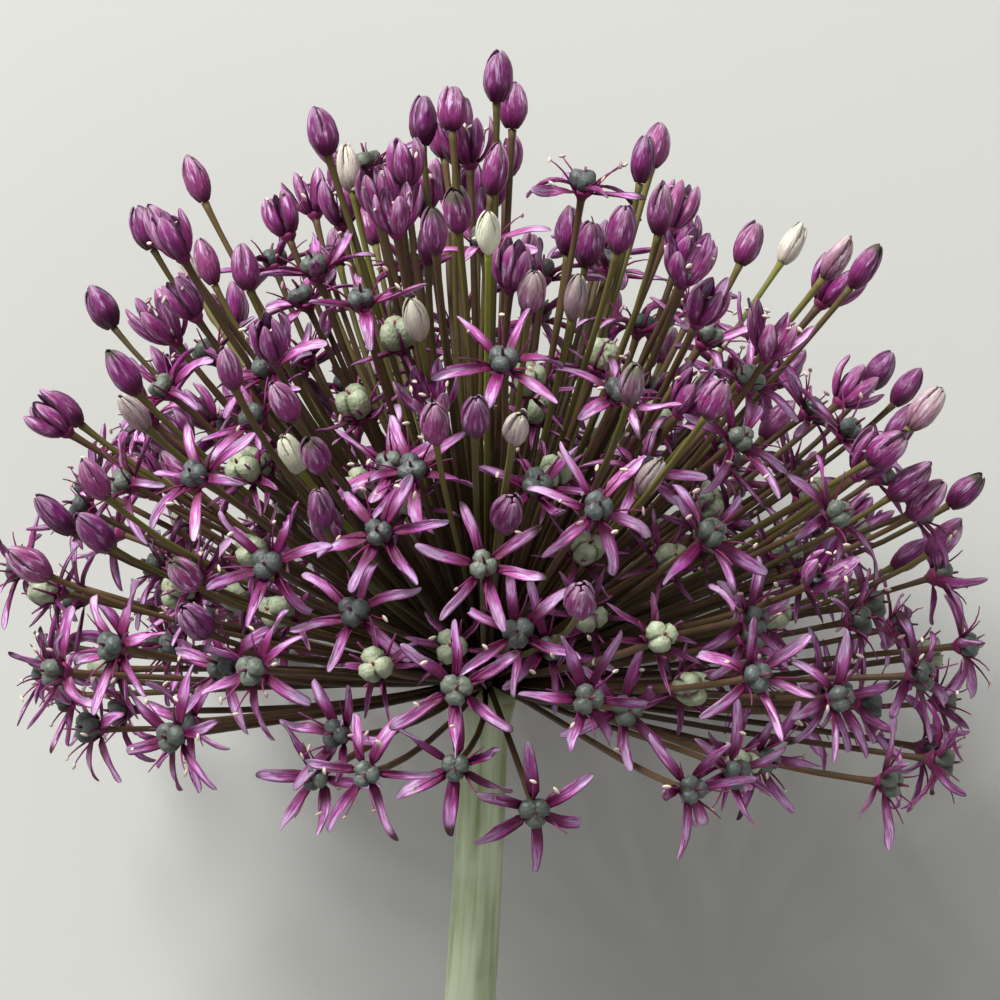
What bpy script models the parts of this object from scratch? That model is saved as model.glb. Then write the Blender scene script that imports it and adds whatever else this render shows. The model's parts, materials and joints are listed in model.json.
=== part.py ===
"""Allium flower head, cut with a length of its scape and lying on its side.

The flower is drawn in its own frame: the pedicels radiate from the origin, +Z runs up the
axis of the scape and -Y is the front of the head. An empty then lays that frame down, so that
the head rests on its back florets and on the cut end of the scape. Lengths are in metres.
"""

import math
import random
from dataclasses import dataclass

import bmesh
import bpy
from mathutils import Matrix, Vector

MM = 0.001

# The lying flower. The axis climbs from the cut end, which touches the surface.
SCAPE_LENGTH = 110 * MM
SCAPE_RADIUS = 3.25 * MM
SCAPE_WAIST = 0.35 * MM  # how much thinner the scape is a little below the umbel
SCAPE_WAIST_LENGTH = 24 * MM
SCAPE_SWELL = 0.9 * MM  # extra radius where the scape meets the umbel
SCAPE_SWELL_LENGTH = 4.5 * MM
SCAPE_BEND = 4.5 * MM  # how far the cut end stands to one side
SCAPE_STRAIGHT = 4 * MM  # of the top of the scape, above its bend
SCAPE_POINTS = 14
HEAD_HEIGHT = 47 * MM  # of the umbel's centre above the surface
HEAD_PLACE = (-0.3 * MM, 14.8 * MM)  # of the umbel's centre over the surface

# The umbel.
RIM_REACH = 54 * MM  # from the centre to a floret at the widest part of the head
CROWN_EXTRA = 15 * MM  # how much further the florets at the top stand
RECEPTACLE_RADIUS = 5.2 * MM
RECEPTACLE_DOME = 4.6 * MM
RECEPTACLE_DEPTH = 3.2 * MM
RECEPTACLE_SIDES = 10
RECEPTACLE_STEPS = 3
SEAT_GAP = 0.3 * MM  # between the receptacle and the top of the scape
SCAPE_TOP = RECEPTACLE_DEPTH + SEAT_GAP  # below the umbel's centre
ROOT_DEPTH = 0.62  # share of the receptacle's radius where a pedicel starts
ROOT_SPREAD = 0.8  # a root's angle from the axis as a share of its floret's
PEDICEL_RADIUS = 0.62 * MM
PEDICEL_ROOT_RADIUS = 0.36 * MM
BEND_SHOWS = 4.5  # degrees of bow, past which a pedicel is bent and not straight
TURN_UP = 0.3  # how far buds and cups turn from their pedicel's line to the head's axis

CANDIDATES = 40
SEED = 19903


@dataclass(frozen=True)
class Bloom:
    """Sizes of a floret with open tepals: angles in degrees, from the floret's own plane."""

    clearance: float  # half the angle that it keeps free round it on the head
    opening: float
    curl: float
    middle: float  # from the hub to a tepal's widest place
    tip: float  # from there to its tip
    width: float  # nothing on a tepal that tapers evenly
    ovary: float  # radius, or nothing where the tepals hide it
    hub: float = 0.95 * MM
    thickness: float = 0.75 * MM


@dataclass(frozen=True)
class Bud:
    """Sizes of a closed floret."""

    clearance: float
    radius: float
    length: float


STAR = Bloom(7.0, 14, -20, 3.2 * MM, 3.8 * MM, 1.7 * MM, 1.85 * MM)
FADING = Bloom(5.5, 2, 0, 0, 5.8 * MM, 0, 2.1 * MM)
CUP = Bloom(3.4, 60, 36, 2.4 * MM, 3.4 * MM, 1.8 * MM, 0)
BUD = Bud(2.4, 1.75 * MM, 5.9 * MM)


@dataclass(frozen=True)
class Tier:
    """Florets of one age, spread over a band of the head; angles run from its top."""

    kind: Bloom | Bud
    count: int
    band: tuple  # of angles from the top
    reach: tuple  # shares of the head's own reach in that direction
    bow: tuple  # angles by which the pedicels leave lower than they end


TIERS = (
    Tier(STAR, 32, (79, 95), (0.95, 1.03), (2, 10)),
    Tier(STAR, 24, (60, 79), (0.84, 0.97), (-3, 7)),
    Tier(STAR, 22, (8, 60), (0.72, 0.94), (-4, 4)),
    Tier(FADING, 10, (72, 94), (0.80, 0.95), (0, 6)),
    Tier(FADING, 16, (18, 72), (0.52, 0.74), (-4, 4)),
    Tier(CUP, 22, (4, 70), (0.86, 1.0), (-4, 4)),
    Tier(BUD, 56, (0, 58), (0.88, 1.03), (-4, 4)),
    Tier(BUD, 15, (58, 78), (0.90, 1.03), (-4, 4)),
)


@dataclass
class Floret:
    """One floret's place on the head."""

    kind: Bloom | Bud
    facing: Vector  # from the centre of the umbel
    polar: float
    azimuth: float
    reach: float
    bow: float
    twist: float
    nod: float
    nod_way: float


def direction(polar, azimuth):
    """Unit vector at one angle from the head's top and another round its axis."""
    around = Vector((math.cos(azimuth), math.sin(azimuth), 0))
    return around * math.sin(polar) + Vector((0, 0, math.cos(polar)))


def lying_frame():
    """Matrix from the flower's own frame to the surface that it lies on."""
    span = math.hypot(SCAPE_LENGTH, SCAPE_RADIUS)
    climb = math.asin(HEAD_HEIGHT / span) - math.atan2(SCAPE_RADIUS, SCAPE_LENGTH)
    place = Vector((*HEAD_PLACE, HEAD_HEIGHT))
    return Matrix.Translation(place) @ Matrix.Rotation(climb - math.pi / 2, 4, "X")


def clear_scene():
    for obj in list(bpy.data.objects):
        bpy.data.objects.remove(obj)


def material(name, colour, roughness):
    finish = bpy.data.materials.new(name)
    finish.use_nodes = True
    shader = finish.node_tree.nodes["Principled BSDF"]
    shader.inputs["Base Color"].default_value = (*colour, 1)
    shader.inputs["Roughness"].default_value = roughness
    shader.inputs["Metallic"].default_value = 0
    return finish


def add_object(name, data, collection):
    obj = bpy.data.objects.new(name, data)
    collection.objects.link(obj)
    return obj


def add_mesh(name, bm, collection):
    """Object holding what was built in bm, with its faces pointing out."""
    bmesh.ops.recalc_face_normals(bm, faces=bm.faces)
    data = bpy.data.meshes.new(name)
    bm.to_mesh(data)
    bm.free()
    return add_object(name, data, collection)


# Where the florets stand


def candidate(tier, draw):
    """A floret of the tier at an even random place in its band."""
    top, bottom = (math.cos(math.radians(angle)) for angle in tier.band)
    polar = math.acos(draw.uniform(bottom, top))
    azimuth = draw.uniform(0, 2 * math.pi)
    return Floret(
        tier.kind,
        direction(polar, azimuth),
        polar,
        azimuth,
        draw.uniform(*tier.reach),
        math.radians(draw.uniform(*tier.bow)),
        draw.uniform(0, math.pi / 3),
        math.radians(draw.uniform(0, 12)),
        draw.uniform(0, 2 * math.pi),
    )


def room(floret, placed):
    """Angle left free between a floret and its nearest neighbour."""
    nearest = math.pi
    for other in placed:
        apart = math.acos(max(-1, min(1, floret.facing.dot(other.facing))))
        taken = math.radians(floret.kind.clearance + other.kind.clearance)
        nearest = min(nearest, apart - taken)
    return nearest


def scatter_florets():
    """Each floret takes the roomiest of a few random places."""
    draw = random.Random(SEED)
    placed = []
    for tier in TIERS:
        for _ in range(tier.count):
            options = [candidate(tier, draw) for _ in range(CANDIDATES)]
            placed.append(max(options, key=lambda option: room(option, placed)))
    return placed


def head_reach(polar):
    """How far from the centre the head's outline runs in a direction."""
    return RIM_REACH + CROWN_EXTRA * max(0, math.cos(polar))


def pedicel_line(floret):
    """Root, control and end points of the pedicel's bend."""
    root_way = direction(floret.polar * ROOT_SPREAD, floret.azimuth)
    root = root_way * RECEPTACLE_RADIUS * ROOT_DEPTH
    end = floret.facing * floret.reach * head_reach(floret.polar)
    leaving = direction(floret.polar + floret.bow, floret.azimuth)
    control = root + leaving * (end - root).length / 2
    return root, control, end


def floret_frame(floret, control, end):
    """Matrix from a floret's own frame, +Z out of its face, to the flower's frame."""
    outward = (end - control).normalized()
    if floret.kind in (CUP, BUD):
        outward = outward.lerp(Vector((0, 0, 1)), TURN_UP)
    turn = outward.to_track_quat("Z", "Y").to_matrix().to_4x4()
    nod_axis = Vector((math.cos(floret.nod_way), math.sin(floret.nod_way), 0))
    nod = Matrix.Rotation(floret.nod, 4, nod_axis)
    return Matrix.Translation(end) @ turn @ nod @ Matrix.Rotation(floret.twist, 4, "Z")


# What a floret is made of


def stand_on_face(bm):
    """Turns a solid of equal triangles so that one of them faces up and one down."""
    bm.faces.ensure_lookup_table()
    turn = bm.faces[0].calc_center_median().rotation_difference(Vector((0, 0, 1)))
    bmesh.ops.transform(bm, matrix=turn.to_matrix().to_4x4(), verts=bm.verts)
    bm.normal_update()


def end_faces(bm):
    """Lowest and highest face."""
    by_height = sorted(bm.faces, key=lambda face: face.calc_center_median().z)
    return by_height[0], by_height[-1]


def extend(bm, face):
    """Extrudes one face and returns the face at the new end."""
    return bmesh.ops.extrude_discrete_faces(bm, faces=[face])["faces"][0]


def ring_at(face, centre, axis, radius):
    """Gathers a face's corners into a ring round an axis."""
    middle = face.calc_center_median()
    for vert in face.verts:
        offset = vert.co - middle
        offset -= axis * offset.dot(axis)
        vert.co = centre + offset.normalized() * radius


def close_to_tip(bm, face, tip):
    """Draws a face out to a point."""
    bmesh.ops.poke(bm, faces=[face])["verts"][0].co = tip


def grow_tepal(bm, face, kind):
    """A keeled blade out of one side of the hub."""
    base = face.calc_center_median()
    outward = Vector((base.x, base.y, 0)).normalized()
    across = Vector((-outward.y, outward.x, 0))
    opening = math.radians(kind.opening)
    closing = math.radians(kind.opening + kind.curl)
    way = outward * math.cos(opening) + Vector((0, 0, math.sin(opening)))
    lift = Vector((0, 0, math.cos(opening))) - outward * math.sin(opening)
    end_way = outward * math.cos(closing) + Vector((0, 0, math.sin(closing)))
    widest = base + way * kind.middle
    if kind.width:
        corners = [vert.co - base for vert in face.verts]
        wide = max(corner.dot(across) for corner in corners) * 2
        tall = max(corner.z for corner in corners) - min(corner.z for corner in corners)
        face = extend(bm, face)
        for vert in face.verts:
            offset = vert.co - base
            vert.co = widest + across * offset.dot(across) * kind.width / wide
            vert.co += lift * offset.z * kind.thickness / tall
    close_to_tip(bm, face, widest + end_way * kind.tip)


def grow_ovary(bm, face, radius):
    """Three blunt lobes on top of the hub."""
    base = face.calc_center_median()
    up = Vector((0, 0, 1))
    face = extend(bm, face)
    ring_at(face, base + up * radius * 0.8, up, radius)
    close_to_tip(bm, face, base + up * radius * 1.4)


def bloom_head(kind):
    """Hub with six tepals and, where it shows, the ovary."""
    bm = bmesh.new()
    bmesh.ops.create_uvsphere(bm, u_segments=4, v_segments=2, radius=kind.hub)
    stand_on_face(bm)
    lowest, highest = end_faces(bm)
    for face in [face for face in bm.faces if face not in (lowest, highest)]:
        grow_tepal(bm, face, kind)
    if kind.ovary:
        grow_ovary(bm, highest, kind.ovary)
    return bm, lowest


def bud_head(kind):
    """Egg-shaped closed floret in rows of three corners."""
    bm = bmesh.new()
    bmesh.ops.create_icosphere(bm, subdivisions=1, radius=kind.radius)
    stand_on_face(bm)
    lowest, highest = end_faces(bm)
    bottom = lowest.calc_center_median().z
    stretch = kind.length * 0.85 / (highest.calc_center_median().z - bottom)
    for vert in bm.verts:
        vert.co.z = (vert.co.z - bottom) * stretch
    for face, share in ((lowest, 0.6), (highest, 0.62)):
        for vert in face.verts:
            vert.co.xy *= share
    close_to_tip(bm, highest, Vector((0, 0, kind.length)))
    return bm, lowest


def grow_pedicel(bm, face, root, control, is_bent):
    """Three-sided stalk from under a floret's hub back into the receptacle."""
    end = face.calc_center_median()
    rings = [(root, root - control, PEDICEL_ROOT_RADIUS)]
    if is_bent:
        halfway = (root + 2 * control + end) / 4
        rings.insert(0, (halfway, root - end, PEDICEL_RADIUS))
    for place, way, radius in rings:
        face = extend(bm, face)
        ring_at(face, place, way.normalized(), radius)


def make_floret(floret, number, lying, collection):
    """One floret on its pedicel, lifted where it would reach below the surface."""
    root, control, end = pedicel_line(floret)
    is_bud = isinstance(floret.kind, Bud)
    bm, lowest = bud_head(floret.kind) if is_bud else bloom_head(floret.kind)
    place = floret_frame(floret, control, end)
    bmesh.ops.transform(bm, matrix=place, verts=bm.verts)
    sunk = min(0, min((lying @ vert.co).z for vert in bm.verts))
    lift = lying.to_3x3().inverted() @ Vector((0, 0, -sunk))
    bmesh.ops.translate(bm, vec=lift, verts=bm.verts)
    is_bent = abs(floret.bow) > math.radians(BEND_SHOWS) or sunk < 0
    grow_pedicel(bm, lowest, root, control, is_bent)
    return add_mesh(f"floret_{number:03d}", bm, collection)


# The pieces


def make_receptacle(collection):
    """Turned dome that every pedicel is rooted in."""
    bm = bmesh.new()
    bmesh.ops.create_cone(
        bm,
        cap_ends=True,
        segments=RECEPTACLE_SIDES,
        radius1=scape_radius(0),
        radius2=RECEPTACLE_RADIUS,
        depth=RECEPTACLE_DEPTH,
        matrix=Matrix.Translation((0, 0, -RECEPTACLE_DEPTH / 2)),
    )
    top = end_faces(bm)[1]
    for step in range(1, RECEPTACLE_STEPS):
        angle = step / RECEPTACLE_STEPS * math.pi / 2
        top = extend(bm, top)
        height = Vector((0, 0, RECEPTACLE_DOME * math.sin(angle)))
        ring_at(top, height, Vector((0, 0, 1)), RECEPTACLE_RADIUS * math.cos(angle))
    close_to_tip(bm, top, Vector((0, 0, RECEPTACLE_DOME)))
    return add_mesh("umbel", bm, collection)


def make_umbel(lying, collection):
    """Receptacle with every pedicel and floret joined to it in one solid."""
    umbel = make_receptacle(collection)
    florets = bpy.data.collections.new("florets")
    bpy.context.scene.collection.children.link(florets)
    for number, floret in enumerate(scatter_florets()):
        make_floret(floret, number, lying, florets)
    join = umbel.modifiers.new("join florets", "BOOLEAN")
    join.operation = "UNION"
    join.operand_type = "COLLECTION"
    join.collection = florets
    join.solver = "EXACT"
    graph = bpy.context.evaluated_depsgraph_get()
    joined = bpy.data.meshes.new_from_object(umbel.evaluated_get(graph))
    umbel.modifiers.remove(join)
    umbel.data = joined
    for obj in list(florets.objects):
        bpy.data.objects.remove(obj)
    bpy.data.collections.remove(florets)
    return umbel


def scape_radius(below):
    """Radius of the scape at a distance below its top."""
    waist = SCAPE_WAIST * math.exp(-below / SCAPE_WAIST_LENGTH)
    swell = SCAPE_SWELL * math.exp(-((below / SCAPE_SWELL_LENGTH) ** 2))
    return SCAPE_RADIUS - waist + swell


def scape_point(below):
    """Centre of the scape at a distance below its top."""
    bent = max(0, below - SCAPE_STRAIGHT) / SCAPE_LENGTH
    return Vector((-SCAPE_BEND * bent**2, 0, -SCAPE_TOP - below))


def make_scape(collection):
    """Smooth round stalk, swollen under the umbel and cut off square below."""
    curve = bpy.data.curves.new("scape", "CURVE")
    curve.dimensions = "3D"
    curve.bevel_depth = SCAPE_RADIUS
    curve.bevel_resolution = 4
    curve.use_fill_caps = True
    spline = curve.splines.new("POLY")
    spline.points.add(SCAPE_POINTS - 1)
    for step, point in enumerate(spline.points):
        below = (SCAPE_LENGTH - SCAPE_TOP) * (step / (SCAPE_POINTS - 1)) ** 1.5
        point.co = (*scape_point(below), 1)
        point.radius = scape_radius(below) / SCAPE_RADIUS
    return add_object("scape", curve, collection)


def main():
    clear_scene()
    parts = bpy.data.collections.new("allium flower head")
    bpy.context.scene.collection.children.link(parts)
    lying = lying_frame()
    laid_down = add_object("laid_down", None, parts)
    laid_down.matrix_world = lying
    umbel = make_umbel(lying, parts)
    umbel.data.materials.append(material("tepal purple", (0.36, 0.07, 0.30), 0.55))
    umbel.data.shade_flat()
    scape = make_scape(parts)
    scape.data.materials.append(material("scape green", (0.33, 0.40, 0.25), 0.5))
    for piece in (umbel, scape):
        piece.parent = laid_down


main()
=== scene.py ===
"""Looks of an allium flower head that lies on its side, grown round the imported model.

The plan of the head repeats the part's own rule and seed, so every floret here stands where its
solid does. The head is planned in its own frame, with the pedicels radiating from the origin, +Z
up the axis of the scape and -Y at the front, and is then laid down. Two Geometry Nodes trees grow
what repeats: one bends copies of a blade or a tube along curves, the other stands shapes on
points. Lengths are in metres, and angles in degrees where no docstring says radians.
"""

import json
import logging
import math
import random
from collections.abc import Callable, Sequence
from dataclasses import dataclass
from enum import Enum

import bmesh
import bpy
from bpy.types import ID, Material, Mesh, NodeSocket, NodeTree, Object
from mathutils import Matrix, Quaternion, Vector, noise

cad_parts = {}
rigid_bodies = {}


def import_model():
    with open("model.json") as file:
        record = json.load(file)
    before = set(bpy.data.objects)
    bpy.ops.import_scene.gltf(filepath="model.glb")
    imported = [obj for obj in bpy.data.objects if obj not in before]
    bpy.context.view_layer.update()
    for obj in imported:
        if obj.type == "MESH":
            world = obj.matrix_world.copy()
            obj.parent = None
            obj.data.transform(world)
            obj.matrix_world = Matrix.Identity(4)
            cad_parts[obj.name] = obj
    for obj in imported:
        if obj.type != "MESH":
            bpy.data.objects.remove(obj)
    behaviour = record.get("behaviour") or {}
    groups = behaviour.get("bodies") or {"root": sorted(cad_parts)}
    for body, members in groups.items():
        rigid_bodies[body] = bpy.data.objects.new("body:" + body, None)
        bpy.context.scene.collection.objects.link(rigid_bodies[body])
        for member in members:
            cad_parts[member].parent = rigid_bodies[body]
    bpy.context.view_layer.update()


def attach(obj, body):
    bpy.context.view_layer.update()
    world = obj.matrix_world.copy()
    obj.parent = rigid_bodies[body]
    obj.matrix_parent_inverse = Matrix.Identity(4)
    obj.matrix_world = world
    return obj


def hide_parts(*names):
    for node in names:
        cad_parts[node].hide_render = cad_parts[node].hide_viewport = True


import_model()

LOG = logging.getLogger("allium")
MM = 0.001
UP = Vector((0, 0, 1))
TEPALS = 6
FIRST_TEPAL = 45.0
LOBES = 3
TILE_MAP = "OFBake"
TILE_MARGIN = 0.08
FINISH_FIELDS = ("along", "across", "up", "tone", "dry", "young", "blade")
LOOK_SEED = 11
GROUND = 0.0
FLOOR_GAP = 0.4 * MM
LEAST_GIRTH = 0.02

Colour = tuple[float, float, float]
Ring = Sequence[tuple[float, float]]
Tile = tuple[float, float, float, float]
Bend = tuple[Vector, Vector, Vector, Vector]
Girth = Callable[[float], float]
Values = dict[int | str, object] | None


# Node trees written as expressions


def _operator(operation: str, swapped: bool = False) -> Callable[..., "Wire"]:
    """Makes a method of Wire that adds one node.

    Args:
        operation: Operation of the node as Blender names it.
        swapped: Whether the wire is the last operand instead of the first.

    Returns:
        The method.
    """

    def operate(wire: "Wire", *others: object) -> "Wire":
        """Adds the node."""
        values = (*others, wire) if swapped else (wire, *others)
        return wire.bench.calculate(operation, *values)

    return operate


@dataclass
class Wire:
    """An output socket of a bench's tree; its operators add Math and Vector Math nodes."""

    bench: "Bench"
    socket: NodeSocket

    __add__ = __radd__ = _operator("ADD")
    __mul__ = __rmul__ = _operator("MULTIPLY")
    __sub__ = _operator("SUBTRACT")
    __rsub__ = _operator("SUBTRACT", swapped=True)
    __truediv__ = _operator("DIVIDE")
    __rtruediv__ = _operator("DIVIDE", swapped=True)
    __mod__ = _operator("MODULO")
    __pow__ = _operator("POWER")
    cross = _operator("CROSS_PRODUCT")
    unit = _operator("NORMALIZE")
    sine = _operator("SINE")
    cosine = _operator("COSINE")
    floor = _operator("FLOOR")
    size = _operator("ABSOLUTE")


class Bench:
    """Adds nodes to one tree; all of them come from add()."""

    def __init__(self, tree: NodeTree) -> None:
        """Clears the tree that is built in."""
        self.tree = tree
        tree.nodes.clear()

    @staticmethod
    def _pick(sockets: Sequence[NodeSocket], key: int | str) -> NodeSocket:
        """Finds one socket.

        Args:
            sockets: Inputs or outputs of a node.
            key: Index of the socket, or its name among those in use.

        Returns:
            The socket.
        """
        if isinstance(key, int):
            return sockets[key]
        return next(one for one in sockets if one.name == key and one.enabled)

    def add(
        self, kind: str, settings: Values = None, sockets: Values = None, outlet: int | str = 0
    ) -> Wire:
        """Adds a node, sets it up and joins its inputs.

        Args:
            kind: Type of the node.
            settings: Its own properties, set before its sockets are read.
            sockets: Value or wire for each input, by name or index.
            outlet: Name or index of the output that is returned.

        Returns:
            The chosen output, or the node's first input where it has no output.
        """
        node = self.tree.nodes.new(kind)
        for name, value in (settings or {}).items():
            setattr(node, name, value)
        for key, value in (sockets or {}).items():
            target = self._pick(node.inputs, key)
            if isinstance(value, Wire):
                self.tree.links.new(value.socket, target)
            elif target.type == "RGBA" and len(value) == 3:
                target.default_value = (*value, 1)
            else:
                target.default_value = value
        return Wire(self, self._pick(node.outputs or node.inputs, outlet))

    @staticmethod
    def _is_vector(value: object) -> bool:
        """Whether an operand has three parts."""
        if isinstance(value, Wire):
            return value.socket.type in ("VECTOR", "RGBA")
        return not isinstance(value, (int, float))

    def calculate(self, operation: str, *values: object) -> Wire:
        """Adds a Math node, or a Vector Math node where an operand is a vector.

        Args:
            operation: Operation as Blender names it.
            *values: Operands in order.

        Returns:
            The result.
        """
        vectors = [self._is_vector(value) for value in values]
        kind = "ShaderNodeVectorMath" if any(vectors) else "ShaderNodeMath"
        sockets = dict(enumerate(values))
        if operation == "MULTIPLY" and any(vectors) and not all(vectors):
            scaled, factor = values if vectors[0] else values[::-1]
            operation, sockets = "SCALE", {"Vector": scaled, "Scale": factor}
        return self.add(kind, {"operation": operation}, sockets)

    def vector(self, x: object, y: object, z: object) -> Wire:
        """Vector from three values."""
        return self.add("ShaderNodeCombineXYZ", None, {0: x, 1: y, 2: z})

    def mix(self, factor: object, first: object, second: object) -> Wire:
        """Colour between a first at 0 and a second at 1."""
        sockets = {"Factor": factor, "A": first, "B": second}
        return self.add("ShaderNodeMix", {"data_type": "RGBA"}, sockets, "Result")

    def step(self, value: Wire, low: float, high: float) -> Wire:
        """Smooth step from 0 at low to 1 at high, which may be the lower of the two."""
        settings = {"interpolation_type": "SMOOTHSTEP"}
        sockets = {"Value": value, "From Min": low, "From Max": high}
        return self.add("ShaderNodeMapRange", settings, sockets, "Result")


# Trees that grow what repeats


class TreeInput(Enum):
    """Inputs of the growing trees, each with its name and the type of its socket."""

    POINTS = ("Geometry", "NodeSocketGeometry")
    TEMPLATE = ("Template", "NodeSocketObject")
    SHAPES = ("Shapes", "NodeSocketCollection")
    FINISH = ("Finish", "NodeSocketMaterial")
    TILES = ("Tiles In A Row", "NodeSocketFloat")
    GROUND = ("Ground Height", "NodeSocketFloat")


class GrowingTree:
    """Geometry Nodes tree with the start and the end that both growing trees share."""

    def __init__(self, name: str, source: TreeInput) -> None:
        """Makes the tree.

        Args:
            name: Name of the tree.
            source: The input that holds what is copied.
        """
        self.tree = bpy.data.node_groups.new(name, "GeometryNodeTree")
        self.bench = Bench(self.tree)
        self.source = source
        self.keys: dict[TreeInput, str] = {}
        face = self.tree.interface
        shared = (TreeInput.FINISH, TreeInput.TILES, TreeInput.GROUND)
        for entry in (TreeInput.POINTS, source, *shared):
            label, kind = entry.value
            socket = face.new_socket(label, in_out="INPUT", socket_type=kind)
            self.keys[entry] = socket.identifier
        label, kind = TreeInput.POINTS.value
        face.new_socket(label, in_out="OUTPUT", socket_type=kind)
        self._close(self.grow(self._given(TreeInput.POINTS)))

    def _given(self, entry: TreeInput) -> Wire:
        """One of the tree's inputs."""
        return self.bench.add("NodeGroupInput", outlet=entry.value[0])

    def _value(self, name: str, kind: str = "FLOAT") -> Wire:
        """Named attribute as a field."""
        return self.bench.add(
            "GeometryNodeInputNamedAttribute", {"data_type": kind}, {"Name": name}
        )

    def _copied(self, sockets: Values) -> Wire:
        """Copies on points, realised."""
        copies = self.bench.add("GeometryNodeInstanceOnPoints", None, sockets)
        return self.bench.add("GeometryNodeRealizeInstances", None, {"Geometry": copies})

    def grow(self, points: Wire) -> Wire:
        """Turns the points into realised geometry.

        Args:
            points: Geometry with one point for each copy.

        Returns:
            The realised geometry.
        """
        raise NotImplementedError

    def _close(self, grown: Wire) -> None:
        """Keeps the geometry above the ground, then gives each copy its tile and the finish.

        Args:
            grown: The realised geometry.
        """
        bench = self.bench
        place = bench.add("GeometryNodeInputPosition")
        x, y, z = (bench.add("ShaderNodeSeparateXYZ", None, {0: place}, axis) for axis in range(3))
        rested = bench.vector(x, y, bench.calculate("MAXIMUM", z, self._given(TreeInput.GROUND)))
        sockets = {"Geometry": grown, "Position": rested}
        placed = bench.add("GeometryNodeSetPosition", None, sockets)
        tiles = self._given(TreeInput.TILES)
        number = self._value("number")
        corner = bench.vector(number % tiles, ((number + 0.5) / tiles).floor(), 0.0)
        inside = self._value(TILE_MAP, "FLOAT_VECTOR") * (1 - TILE_MARGIN)
        inside = inside + (TILE_MARGIN / 2, TILE_MARGIN / 2, 0)
        mapped = bench.add(
            "GeometryNodeStoreNamedAttribute",
            {"data_type": "FLOAT2", "domain": "CORNER"},
            {"Geometry": placed, "Name": TILE_MAP, "Value": (corner + inside) * (1 / tiles)},
        )
        sockets = {"Geometry": mapped, "Material": self._given(TreeInput.FINISH)}
        finished = bench.add("GeometryNodeSetMaterial", None, sockets)
        bench.add("NodeGroupOutput", None, {"Geometry": finished})

    def apply(self, cloud: Object, source: ID, finish: Material) -> Object:
        """Grows one piece on a cloud of points and makes it a plain mesh.

        Args:
            cloud: Object whose vertices are the points.
            source: Template object or collection of shapes.
            finish: Material of the piece.

        Returns:
            The same object, holding the grown mesh.
        """
        growth = cloud.modifiers.new("growth", "NODES")
        growth.node_group = self.tree
        tiles = math.ceil(math.sqrt(len(cloud.data.vertices)))
        growth[self.keys[self.source]] = source
        growth[self.keys[TreeInput.FINISH]] = finish
        growth[self.keys[TreeInput.TILES]] = float(tiles)
        growth[self.keys[TreeInput.GROUND]] = GROUND
        graph = bpy.context.evaluated_depsgraph_get()
        grown = bpy.data.meshes.new_from_object(
            cloud.evaluated_get(graph), preserve_all_data_layers=True, depsgraph=graph
        )
        cloud.modifiers.remove(growth)
        cloud.data = grown
        grown.name = cloud.name
        grown.materials.clear()
        grown.materials.append(finish)
        kept = {*FINISH_FIELDS, TILE_MAP}
        spare = [
            one.name
            for one in grown.attributes
            if not (one.is_required or one.is_internal or one.name in kept)
        ]
        for name in spare:
            grown.attributes.remove(grown.attributes[name])
        grown.shade_smooth()
        return cloud


class SweepTree(GrowingTree):
    """Bends a copy of the template along each strand's own curve."""

    WAVES = 8

    def __init__(self) -> None:
        """Makes the tree."""
        super().__init__("grow along curves", TreeInput.TEMPLATE)

    def grow(self, points: Wire) -> Wire:
        """Carries the template's rings along the strands; see GrowingTree.grow."""
        bench = self.bench
        sockets = {"Object": self._given(TreeInput.TEMPLATE)}
        template = bench.add("GeometryNodeObjectInfo", None, sockets, "Geometry")
        flat = self._copied({"Points": points, "Instance": template})
        start, lean_out, lean_in, end, side = (
            self._value(name, "FLOAT_VECTOR") for name in Strand.VECTORS
        )
        half_width, half_depth, wrap, roll, twist, wave = map(self._value, Strand.SHAPES)
        along, across, up, girth = map(self._value, ("along", "across", "up", "girth"))
        left = 1 - along
        centre = start * (left**3) + lean_out * (left * left * along * 3)
        centre = centre + lean_in * (left * along * along * 3) + end * (along**3)
        slope = (lean_out - start) * (left * left) + (lean_in - lean_out) * (left * along * 2)
        tangent = (slope + (end - lean_in) * (along * along)).unit()
        face = tangent.cross(side).unit()
        flank = face.cross(tangent)
        phase = along * self.WAVES + self._value("number")
        turn = twist * along + wave * along * phase.sine()
        turned_flank = flank * turn.cosine() + face * turn.sine()
        turned_face = face * turn.cosine() - flank * turn.sine()
        arc = wrap * (1 + roll * along**4)
        bend = across * arc
        radius = half_width * girth / arc
        sideways = turned_flank * (radius * bend.sine())
        raised = turned_face * (radius * (1 - bend.cosine()) + up * half_depth)
        sockets = {"Geometry": flat, "Position": centre + sideways + raised}
        return bench.add("GeometryNodeSetPosition", None, sockets)


class StandTree(GrowingTree):
    """Stands one of several shapes on each point, turned and scaled by the point."""

    def __init__(self) -> None:
        """Makes the tree."""
        super().__init__("stand on points", TreeInput.SHAPES)

    def grow(self, points: Wire) -> Wire:
        """Places the shapes; see GrowingTree.grow."""
        sockets = {
            "Collection": self._given(TreeInput.SHAPES),
            "Separate Children": True,
            "Reset Children": True,
        }
        stand = {
            "Points": points,
            "Instance": self.bench.add("GeometryNodeCollectionInfo", None, sockets),
            "Pick Instance": True,
            "Instance Index": self._value("variant", "INT"),
            "Rotation": self._value("turn", "QUATERNION"),
            "Scale": self._value("scale", "FLOAT_VECTOR"),
        }
        return self._copied(stand)


# Meshes that the trees copy


def add_object(name: str, mesh: Mesh) -> Object:
    """Links a new object to the scene.

    Args:
        name: Its name.
        mesh: Its mesh.

    Returns:
        The object.
    """
    piece = bpy.data.objects.new(name, mesh)
    bpy.context.scene.collection.objects.link(piece)
    return piece


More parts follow.
